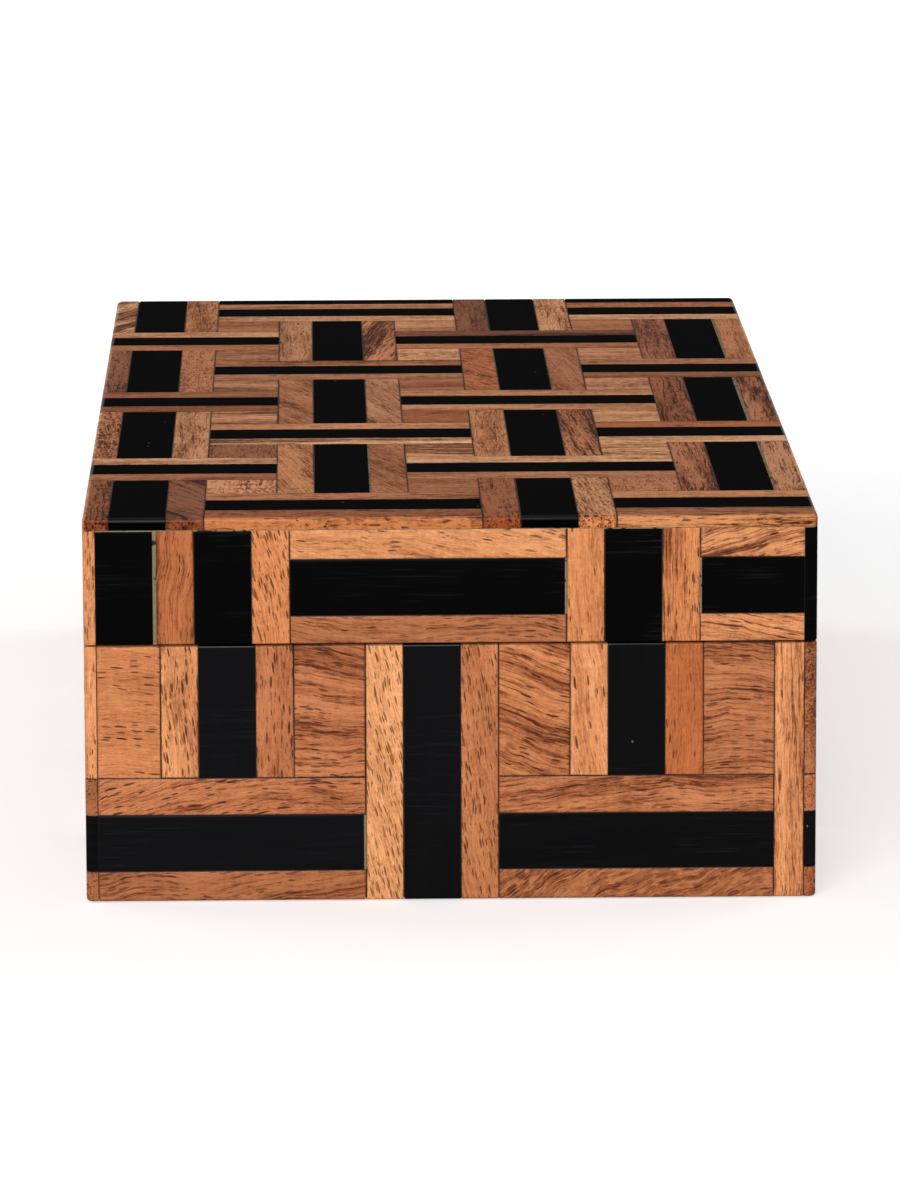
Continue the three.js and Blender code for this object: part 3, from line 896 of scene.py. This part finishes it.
# Black tiles that leave a wide pale glue line at one edge: face, tile, and its width at left and right
WIDE_LINES = {
    "lid_top": {"u 3 5 m": (0, 0.3), "u 3 3 m": (0, 0.5), "u 3 1 m": (0, 0.25), "u 1 1 m": (0, 0.15)},
    "body_near_end": {"l 0 0 m": (0, 0.3)},
    "lid_near_end": {"l 1 1 m": (0, 0.25), "l 3 1 m": (0.2, 0)},
}


def clad(name, face, body, tiles, area_u, area_v, area_kinds, notches=(), seed=1):
    """Lays one face's tiles, black strips and glue lines, and replaces its CAD nodes."""
    rng = random.Random(seed)
    chosen = tile_table(CHOSEN[name]) if name in CHOSEN else {}
    part = name.split("_")[0]
    wood, black, covered, pale = Shell(), Shell(), [], []
    for key, is_wood, u, v, upright in tiles:
        tone, figure, angle = tile_values(key, chosen, upright, rng, face == "top")
        kinds = edge_kinds(u, v, area_u, area_v, area_kinds)
        left_line, right_line = WIDE_LINES.get(name, {}).get(key, (0, 0))
        if right_line:
            pale.append(((u[1] - right_line - LINE_OVERLAP, u[1] + LINE_OVERLAP), v))
        if left_line:
            pale.append(((u[0] - LINE_OVERLAP, u[0] + left_line + LINE_OVERLAP), v))
        u = (u[0] + left_line, u[1] - right_line)
        if key == "closing":
            pale.append(((u[1] - LINE_OVERLAP, u[1] + CLOSING_REACH), v))
        if kinds[3] == "capped" and not is_wood:
            v = (v[0], v[1] - CAP_LINE)
        for block_u, block_v, block_kinds in around_notches(u, v, kinds, notches):
            steady = "plain" in block_kinds
            points, faces, rims = tile_block(block_u, block_v, block_kinds, rng, steady)
            if not is_wood:
                # the body's level holds a painted reflection of the floor
                level = BLACK_TONES_AND_FLOOR_REFLECTION[part] * rng.uniform(*BLACK_SPREAD)
                tone = (level, level, level * BLACK_BLUENESS, 1.0)
            looks = [(tone, figure, 0.0)] * len(points)
            if face == "top":
                looks = [edge_look(point, upright, is_wood, tone, figure) for point in points]
            elif kinds[3] == "seam" and not is_wood:
                looks = [(tone, figure, rim_gloss(v, w, area_v[1])) for _, v, w in points]
            tones, figures, glosses = zip(*looks)
            (wood if is_wood else black).add(
                [on_face(face, *p) for p in points],
                faces,
                grain=grain_places(points, angle, random.Random(f"{name} {key}")),
                tone=tones,
                figure=figures,
                rim=rims,
                gloss=glosses,
            )
            covered.append(inset(block_u, block_v, block_kinds))
    wood_piece = wood.build(f"{name}_wood", wood_for_top if face == "top" else wood_for_sides)
    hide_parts(f"{name}_wood_tiles")
    black_piece = black.build(f"{name}_black", black_for_top if face == "top" else black_for_sides)
    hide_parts(f"{name}_black_strips")
    filled_v = area_v
    if area_kinds[3] == "capped":
        filled_v = (area_v[0], area_v[1] + CAP_REACH)
        pale.append((area_u, (area_v[1] - CAP_LINE - GLUE_INSET, filled_v[1])))
    points, faces, paleness = filler_block(covered, area_u, filled_v, notches, pale)
    lines = Shell().add(
        [on_face(face, *p, shrink=FILLER_SHRINK) for p in points],
        faces,
        grain=points,
        tone=[(value, value, value, 1.0) for value in paleness],
    )
    line_piece = lines.build(f"{name}_glue_lines", filler_material)
    for piece in (wood_piece, black_piece, line_piece):
        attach(piece, body)


END_SPAN = (CLADDING + GLUE, BOX_WIDTH - CLADDING - GLUE)
LONG_SPAN = (0.0, BOX_LENGTH)
SIDES = (
    ("near_end", END_SPAN, END_COLUMN_PITCH, "glue"),
    ("hinge_side", LONG_SPAN, LONG_COLUMN_PITCH, "outer"),
    ("far_end", END_SPAN, END_COLUMN_PITCH, "glue"),
    ("opening_side", LONG_SPAN, LONG_COLUMN_PITCH, "outer"),
)
LID_TOP_LINE = BOX_HEIGHT - CLADDING - GLUE
BODY_SLOT = (BODY_HEIGHT - LEAF_ROOM, BODY_HEIGHT + 1)
LID_SLOT = (LID_BOTTOM - 1, LID_BOTTOM + LEAF_ROOM)
# Name, body, whether it is the lid, height span, kinds of its lower and upper edge, hinge slots' height
PARTS = (
    ("body", "box_body", False, (0.0, BODY_HEIGHT), ("outer", "seam"), BODY_SLOT),
    ("lid", "lid", True, (LID_BOTTOM, LID_TOP_LINE), ("seam", "capped"), LID_SLOT),
)
for number, (side, span, pitch, end_kind) in enumerate(SIDES):
    for part, body, on_lid, heights, height_kinds, slot_v in PARTS:
        middles = [HALF_LENGTH + y for y in HINGE_YS] if side == "hinge_side" else []
        slots = [((middle - HALF_SLOT, middle + HALF_SLOT), slot_v) for middle in middles]
        side_kinds = (end_kind, end_kind, *height_kinds)
        tiles = side_tiles(pitch, on_lid, span, heights)
        seed = 100 + 10 * number + on_lid
        clad(f"{part}_{side}", side, body, tiles, span, heights, side_kinds, slots, seed)
top_area = ((0.0, BOX_WIDTH), (0.0, BOX_LENGTH))
clad("lid_top", "top", "lid", top_tiles(*top_area), *top_area, ("outer",) * 4, (), 7)


# Carcass, brass and linings


def board_wood(name, order, waves):
    """Wood for a CAD board. Order names the frame's axes that lie along, across and into the grain."""
    n = new_material(name)
    parts = n.add("SeparateXYZ", {0: n.object_place()}).outputs
    axes = {number: parts["XYZ".index(axis)] for number, axis in enumerate(order)}
    place = n.add("CombineXYZ", axes).outputs[0]
    colour, rough, height = wood_nodes(n, place, (*CARCASS_TONE, 1), *CARCASS_FIGURE, waves)
    return n.surface(
        Base_Color=colour,
        Roughness=n.plus(rough, 0.15),
        Normal=n.bump(height, 0.08, 0.7),
        Specular_IOR_Level=0.05,
    )


def brass(name):
    n = new_material(name)
    where = n.object_place()
    cloud = n.noise(where, detail=3, roughness=0.6, scale=0.35)
    brushed = n.noise(where, 6.0, 0.25, 6.0, detail=2)
    tarnish = n.ramp(cloud, 0.5, 0.72)
    return n.surface(
        Base_Color=n.mix(n.times(tarnish, 0.4), (0.62, 0.40, 0.14, 1), (0.28, 0.16, 0.06, 1)),
        Metallic=1.0,
        Roughness=n.plus(n.ramp(brushed, 0.3, 0.7, 0.22, 0.36), n.times(tarnish, 0.15)),
        Normal=n.bump(brushed, 0.02, 0.2),
    )


def cloth(name, dark, light, fibre_scale, crush, sheen):
    """Velvet or felt: fibres as fine noise, and broad patches where the pile lies another way."""
    n = new_material(name)
    where = n.object_place()
    fibre = n.noise(where, detail=3, roughness=0.7, scale=fibre_scale)
    patch = n.noise(where, 0.05, 0.03, 0.05, detail=3, roughness=0.6)
    share = n.plus(n.ramp(fibre, 0.3, 0.7, 0.0, 0.5), n.times(n.ramp(patch, 0.4, 0.6), crush))
    return n.surface(
        Base_Color=n.mix(share, (*dark, 1), (*light, 1)),
        Roughness=0.95,
        Normal=n.bump(n.plus(fibre, n.times(patch, crush)), 0.25, 0.7),
        Specular_IOR_Level=0.15,
        Sheen_Weight=sheen,
        Sheen_Roughness=0.4,
        Sheen_Tint=(*light, 1),
    )


CARCASS_TONE = linear(176, 122, 78)
CARCASS_FIGURE = (0.45, 0.5, 0.0)
# Which wood a CAD node gets, by how its name ends
FINISHES = (
    (("board",), board_wood("carcass_wood_board", "YXZ", 0.8)),
    (("end_wall", "end_rail"), board_wood("carcass_wood_end", "XZY", 0.6)),
    (("wall", "rail"), board_wood("carcass_wood_long", "YZX", 0.6)),
)
brass_material = brass("brass")
velvet = cloth("velvet", (0.030, 0.006, 0.006), (0.11, 0.028, 0.026), 3.5, 0.28, 0.5)
felt = cloth("felt", (0.010, 0.010, 0.011), (0.045, 0.045, 0.047), 1.6, 0.15, 0.2)

for node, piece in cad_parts.items():
    finish = next((wood for endings, wood in FINISHES if node.endswith(endings)), None)
    if finish:
        piece.data.materials.clear()
        piece.data.materials.append(finish)


# Cloth: size of its mesh cells, lines across its soft edge, and share of its thickness at the edge
CLOTH_CELL = 2.6
SOFT_LINES = (0.0, 0.1, 0.3, 0.6)
FOOT = 0.15
# Waves in its face: how many, and the ranges of their two rates per mm, their start and their size
WAVES = 7
WAVE_RANGES = ((0.02, 0.12), (0.02, 0.12), (0, 6.3), (0.4, 1.0))
# How far its outline wanders, and how fast
OUTLINE_WANDER = 0.12
WANDER_RATE = 0.31


def sheet_piece(name, half, span, edge, swell, face_up, seed):
    """A closed sheet of cloth with soft edges. Swell is how far its shown face rises and falls."""
    cuts = []
    for reach in half:
        count = round(2 * (reach - edge) / CLOTH_CELL)
        inner = [-(reach - edge) + 2 * (reach - edge) * i / count for i in range(count + 1)]
        rim = [edge * d for d in SOFT_LINES]
        cuts.append([-reach + d for d in rim] + inner + [reach - d for d in rim[::-1]])
    points, faces = lattice(*cuts, [0.0, 1.0])
    thick = span[1] - span[0]
    rng = random.Random(seed)
    waves = [[rng.uniform(*limits) for limits in WAVE_RANGES] for _ in range(WAVES)]
    placed = []
    for x, y, level in points:
        inward = [min(edge, reach - abs(c)) / edge for c, reach in zip((x, y), half)]
        fall = 1 - math.prod(math.sqrt(max(0.0, 1 - (1 - share) ** 2)) for share in inward)
        relief = sum(size * math.sin(a * x + b * y + c) for a, b, c, size in waves) / len(waves)
        height = FOOT + (1 - FOOT) * (1 - fall)
        height -= swell * (0.5 + relief) * (1 - fall)
        wander = OUTLINE_WANDER * math.sin(WANDER_RATE * (x + 2 * y) + seed) * (min(inward) < 0.05)
        x, y = x - math.copysign(abs(wander), x), y - math.copysign(abs(wander), y)
        rise = thick * height * level
        placed.append(Vector((x, y, span[0] + rise if face_up else span[1] - rise)))
    if not face_up:
        faces = [face[::-1] for face in faces]
    return Shell().add(placed, faces).build(name, velvet if "velvet" in name else felt, 60)


# Half the felt's and velvet's width and length, and the heights between which they lie, as in the CAD
FELT_HALF, VELVET_HALF = (68.3, 143.3), (64.6, 139.6)
BASE_ZS, FLOOR_ZS, LID_ZS = (0.0, 1.0), (6.2, 7.7), (70.8, 72.3)
for name, node, half, span, face_up, body, board in (
    ("base_felt_sheet", "base_felt", FELT_HALF, BASE_ZS, False, "box_body", "body_floor_board"),
    ("floor_velvet_sheet", "body_floor_velvet", VELVET_HALF, FLOOR_ZS, True, "box_body", "body_floor_board"),
    ("lid_velvet_sheet", "lid_velvet", VELVET_HALF, LID_ZS, False, "lid", "lid_top_board"),
):
    is_felt = "felt" in node
    edge, swell = (0.5, 0.05) if is_felt else (1.6, 0.16)
    piece = sheet_piece(name, half, span, edge, swell, face_up, len(name))
    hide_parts(node)
    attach(piece, body)


# Hinges, each about its pin, with X away from the box

PIN_X, PIN_Z = 77.2, 53.6
LEAF_LENGTH = 30.0
LEAF_NEAR = 0.2
LEAF_FAR = 1.4
LEAF_REACH = 10.2
LEAF_EASE = 0.15
KNUCKLE_RADIUS = 1.9
KNUCKLE_SPANS = ((-15.0, -5.2), (-4.9, 4.9), (5.2, 15.0))
KNUCKLE_EASE = 0.18
KNUCKLE_GAP = 0.3
KNUCKLE_ROOM = 2.2
PIN_RADIUS = 0.9
PIN_HOLE = 1.0
PIN_DOME = 0.35
BORE_REACH = 20
STOP_REACH, STOP_LENGTH, STOP_TURN, STOP_EASE = 2.1, 1.6, 80, 0.12
SCREW_X = 69.75
SCREW_OFFSETS = (-9.0, 9.0)
SCREW_HEAD, SCREW_SHANK, SCREW_LENGTH, SCREW_TIP = 2.0, 1.0, 11.0, 2
SCREW_CLEARANCE = 0.1
# Thread: pitch, its crest in each turn, where it stops, and its radii as shares of the shank's
THREAD_PITCH = 0.62
CREST_START, CREST_END = 0.28, 0.34
THREAD_END = -2.2
ROOT_SHARE, CREST_SHARE = 0.72, 0.98
DRIVER_SLOT, SLOT_EASE = ((-0.25, 0.25), (-3.0, 3.0), (-0.5, 1.0)), 0.02
ROOM_EASE = 0.001
TURNED_SIDES = 48
LEAST_LENGTH = 2e-4
BRASS_SHARP = 16


def brass_piece(points, faces, name):
    return Shell().add(points, faces).build(name, brass_material, scale=1)


def turned(profile, axis, name):
    """A closed body turned about an axis, from a closed or axis-to-axis outline of (radius, height)."""
    points, faces, rings = [], [], []
    for radius, height in profile:
        count = 1 if radius == 0 else TURNED_SIDES
        rings.append(range(len(points), len(points) + count))
        for i in range(count):
            a = 2 * math.pi * i / TURNED_SIDES
            x, y, z = radius * math.cos(a), radius * math.sin(a), height
            points.append(Vector((y, z, x)) if axis == "Y" else Vector((x, y, z)))
    closed = profile[0][0] > 0
    for k in range(len(rings) - (0 if closed else 1)):
        low, high = rings[k], rings[(k + 1) % len(rings)]
        for i in range(TURNED_SIDES):
            j = (i + 1) % TURNED_SIDES
            quad = [low[i % len(low)], low[j % len(low)], high[j % len(high)], high[i % len(high)]]
            faces.append(list(dict.fromkeys(quad)))
    return brass_piece(points, faces, name)


def eased_block(name, spans, ease):
    """A block with eased edges."""
    points, faces = lattice(*[[low, low + ease, high - ease, high] for low, high in spans])
    placed = []
    for point in points:
        place, past = Vector(point), Vector((0, 0, 0))
        for axis, (low, high) in enumerate(spans):
            if point[axis] < low + ease:
                past[axis] = point[axis] - low - ease
            elif point[axis] > high - ease:
                past[axis] = point[axis] - high + ease
        reach = past.length
        if reach > ease:
            place += past * (ease / reach - 1)
        placed.append(place)
    return brass_piece(placed, faces, name)


def combined(piece, other, operation):
    """Joins other to a piece, or cuts it out, and removes it."""
    modifier = piece.modifiers.new("combine", "BOOLEAN")
    modifier.operation, modifier.object, modifier.solver = operation, other, "EXACT"
    bpy.context.view_layer.update()
    ready = piece.evaluated_get(bpy.context.evaluated_depsgraph_get())
    mesh = bpy.data.meshes.new_from_object(ready)
    piece.modifiers.clear()
    piece.data = mesh
    bpy.data.objects.remove(other)


def without_slivers(piece):
    """Dissolves the zero-area faces that the cuts leave, in millimetres."""
    mesh = bmesh.new()
    mesh.from_mesh(piece.data)
    bmesh.ops.triangulate(mesh, faces=mesh.faces)
    bmesh.ops.remove_doubles(mesh, verts=mesh.verts, dist=LEAST_LENGTH)
    bmesh.ops.dissolve_degenerate(mesh, edges=mesh.edges, dist=LEAST_LENGTH)
    stray = [face for face in mesh.faces if all(len(edge.link_faces) != 2 for edge in face.edges)]
    bmesh.ops.delete(mesh, geom=stray, context="FACES")
    mesh.to_mesh(piece.data)
    mesh.free()


def knuckle(span):
    low, high = span
    e = KNUCKLE_EASE
    outline = [
        (PIN_HOLE, low),
        (KNUCKLE_RADIUS - e, low),
        (KNUCKLE_RADIUS - e * 0.3, low + e * 0.3),
        (KNUCKLE_RADIUS, low + e),
        (KNUCKLE_RADIUS, high - e),
        (KNUCKLE_RADIUS - e * 0.3, high - e * 0.3),
        (KNUCKLE_RADIUS - e, high),
        (PIN_HOLE, high),
    ]
    return turned(outline, "Y", "knuckle")


def hole_outline():
    """A screw's hole from its tip up to past the leaf's face, which is level with zero."""
    head, shank = SCREW_HEAD + SCREW_CLEARANCE, SCREW_SHANK + SCREW_CLEARANCE
    tip = [(0, -SCREW_LENGTH - SCREW_CLEARANCE), (shank, SCREW_TIP - SCREW_LENGTH)]
    return [*tip, (shank, shank - head), (head, 0), (head, 1), (0, 1)]


def screw_outline():
    """From the tip up to the middle of the head, which is level with zero."""
    head, shank = SCREW_HEAD, SCREW_SHANK
    root, crest = shank * ROOT_SHARE, shank * CREST_SHARE
    thread = []
    height = SCREW_TIP - SCREW_LENGTH
    while height < THREAD_END:
        thread += [(root, height), (crest, height + CREST_START), (crest, height + CREST_END)]
        height += THREAD_PITCH
    neck = [(shank * 0.9, -1.8), (crest, -1.05)]
    rim = [(head - 0.14, -0.16), (head - 0.02, -0.07), (head - 0.1, 0.0)]
    return [(0, -SCREW_LENGTH), (shank * 0.5, 1 - SCREW_LENGTH), *thread, *neck, *rim, (0, 0.0)]


def mirrored(piece):
    piece.data.transform(Matrix.Diagonal((1, 1, -1, 1)))
    piece.data.flip_normals()


def leaf(name, level, own, others):
    """A leaf with its own knuckles and room for the others. Level is -1 for the body and 1 for the lid."""
    spans = ((-LEAF_REACH, 0.0), (-LEAF_LENGTH / 2, LEAF_LENGTH / 2), (LEAF_NEAR, LEAF_FAR))
    piece = eased_block(name, spans, LEAF_EASE)
    for low, high in others:
        room = ((-KNUCKLE_ROOM, 1.0), (low - KNUCKLE_GAP, high + KNUCKLE_GAP), (0.0, 2.0))
        combined(piece, eased_block("room", room, ROOM_EASE), "DIFFERENCE")
    if level < 0:
        mirrored(piece)
    for span in own:
        combined(piece, knuckle(span), "UNION")
    if level > 0:
        toe = eased_block("toe", ((0.0, STOP_REACH), KNUCKLE_SPANS[1], (0.0, STOP_LENGTH)), STOP_EASE)
        toe.data.transform(Matrix.Rotation(math.radians(STOP_TURN), 4, "Y"))
        combined(piece, toe, "UNION")
    bore = [(0, -BORE_REACH), (PIN_HOLE, -BORE_REACH), (PIN_HOLE, BORE_REACH), (0, BORE_REACH)]
    combined(piece, turned(bore, "Y", "bore"), "DIFFERENCE")
    for offset in SCREW_OFFSETS:
        hole = turned(hole_outline(), "Z", "hole")
        if level > 0:
            mirrored(hole)
        hole.data.transform(Matrix.Translation((SCREW_X - PIN_X, offset, level * LEAF_NEAR)))
        combined(piece, hole, "DIFFERENCE")
    return piece


def screw(name, level, offset, turn):
    piece = turned(screw_outline(), "Z", name)
    slot = eased_block("slot", DRIVER_SLOT, SLOT_EASE)
    slot.data.transform(Matrix.Rotation(math.radians(turn), 4, "Z"))
    combined(piece, slot, "DIFFERENCE")
    if level > 0:
        mirrored(piece)
    piece.data.transform(Matrix.Translation((SCREW_X - PIN_X, offset, level * LEAF_NEAR)))
    return piece


def fit_hinge_piece(piece, node, body, y):
    without_slivers(piece)
    piece.data.transform(Matrix.Translation((PIN_X, y, PIN_Z)))
    piece.data.transform(Matrix.Scale(MM, 4))
    show_smooth(piece.data, BRASS_SHARP)
    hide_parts(node)
    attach(piece, body)


for hinge, y in zip(("near_hinge", "far_hinge"), HINGE_YS):
    lower, middle, upper = KNUCKLE_SPANS
    for part, body, level in (("body", "box_body", -1), ("lid", "lid", 1)):
        own, others = ([lower, upper], [middle]) if level < 0 else ([middle], [lower, upper])
        piece = leaf(f"{hinge}_{part}_leaf_brass", level, own, others)
        fit_hinge_piece(piece, f"{hinge}_{part}_leaf", body, y)
        for number, offset in enumerate(SCREW_OFFSETS, 1):
            turn = random.Random(f"{hinge} {part} {number}").uniform(0, 180)
            piece = screw(f"{hinge}_{part}_screw_{number}_brass", level, offset, turn)
            fit_hinge_piece(piece, f"{hinge}_{part}_screw_{number}", body, y)
    half = LEAF_LENGTH / 2
    angles = [math.pi * i / 12 for i in range(6)]
    dome = [(PIN_RADIUS * math.cos(a), half - PIN_DOME + PIN_DOME * math.sin(a)) for a in angles]
    outline = [(0, -half)] + [(x, -z) for x, z in dome[::-1]] + dome + [(0, half)]
    piece = turned(outline, "Y", f"{hinge}_pin_brass")
    fit_hinge_piece(piece, f"{hinge}_pin", "box_body", y)


# Stage, in metres and degrees

CAMERA_PLACE = Vector((-0.0291, -1.6142, 0.34306))
CAMERA_YAW, CAMERA_PITCH, CAMERA_ROLL = 1.134, 10.838, -0.174
CAMERA_LENS = 219.25
SENSOR = 36
# Soft boxes: azimuth (0 in front of the near end, 90 beyond the hinge side), elevation, level, size
LAMPS = {
    "key": (-14, 16, 0.66, 1.6),
    "crest": (0, 45, 0.07, 0.8),
    "fill_left": (-118, 11, 0.40, 1.8),
    "fill_right": (118, 11, 0.40, 1.8),
}
LAMP_DISTANCE = 3.0
LAMP_AIM = Vector((0, 0, 0.04))
AMBIENT = 0.24
WHITE = (1, 1, 1, 1)
FLOOR_REACH = 9
FLOOR_Z = -0.0002
FLOOR_COLOUR = (0.86, 0.86, 0.86, 1)
# The floor's own light grows with the distance from the box, up to the white background's
GLOW_FROM, GLOW_TO, LEAST_GLOW = 0.25, 1.1, 0.50


camera_data = bpy.data.cameras.new("camera")
camera_data.lens = CAMERA_LENS
camera_data.sensor_width = SENSOR
camera_data.clip_start, camera_data.clip_end = 0.05, 100
camera = bpy.data.objects.new("camera", camera_data)
turns = ((-CAMERA_YAW, "Z"), (90 - CAMERA_PITCH, "X"), (CAMERA_ROLL, "Z"))
yaw, pitch, roll = (Matrix.Rotation(math.radians(angle), 4, axis) for angle, axis in turns)
camera.matrix_world = Matrix.Translation(CAMERA_PLACE) @ yaw @ pitch @ roll
bpy.context.scene.collection.objects.link(camera)
bpy.context.scene.camera = camera

for name, (azimuth, elevation, level, size) in LAMPS.items():
    a, e = math.radians(azimuth), math.radians(elevation)
    back = Vector((math.sin(a) * math.cos(e), -math.cos(a) * math.cos(e), math.sin(e)))
    data = bpy.data.lights.new(name, "AREA")
    data.shape = "SQUARE"
    data.size = size
    data.energy = level * math.pi**2 * LAMP_DISTANCE**2
    lamp = bpy.data.objects.new(name, data)
    lamp.location = back * LAMP_DISTANCE + LAMP_AIM
    lamp.rotation_mode = "QUATERNION"
    lamp.rotation_quaternion = back.to_track_quat("Z", "Y")
    lamp.visible_camera = False
    bpy.context.scene.collection.objects.link(lamp)


def seen_directly(n):
    """1 where the camera, gloss or clear material looks, and 0 for the light on the object."""
    path = n.add("LightPath").outputs
    return n.most(path["Is Camera Ray"], path["Is Glossy Ray"], path["Is Transmission Ray"])


world = bpy.data.worlds.new("studio")
bpy.context.scene.world = world
n = Nodes(world)
ambient = n.add("Background", {"Color": WHITE, "Strength": AMBIENT})
white = n.add("Background", {"Color": WHITE, "Strength": 1.0})
blend = n.add("MixShader", {0: seen_directly(n), 1: ambient.outputs[0], 2: white.outputs[0]})
n.add("OutputWorld", {"Surface": blend.outputs[0]})

floor_mesh = bpy.data.meshes.new("floor")
corners = [(x * FLOOR_REACH, y * FLOOR_REACH, 0) for x, y in ((-1, -1), (1, -1), (1, 1), (-1, 1))]
floor_mesh.from_pydata(corners, [], [(0, 1, 2, 3)])
floor = bpy.data.objects.new("floor", floor_mesh)
floor.location.z = FLOOR_Z
bpy.context.scene.collection.objects.link(floor)
n = new_material("floor")
matt = n.add("BsdfDiffuse", {"Color": FLOOR_COLOUR})
where = n.add("TexCoord").outputs["Object"]
away = n.add("VectorMath", {0: where}, operation="LENGTH").outputs["Value"]
level = n.times(seen_directly(n), n.ramp(away, GLOW_FROM, GLOW_TO, LEAST_GLOW, 1.0))
glow = n.add("Emission", {"Color": WHITE, "Strength": level})
both = n.add("AddShader", {0: matt.outputs[0], 1: glow.outputs[0]})
n.add("OutputMaterial", {"Surface": both.outputs[0]})
floor_mesh.materials.append(n.owner)

bpy.context.scene.view_settings.view_transform = "Standard"
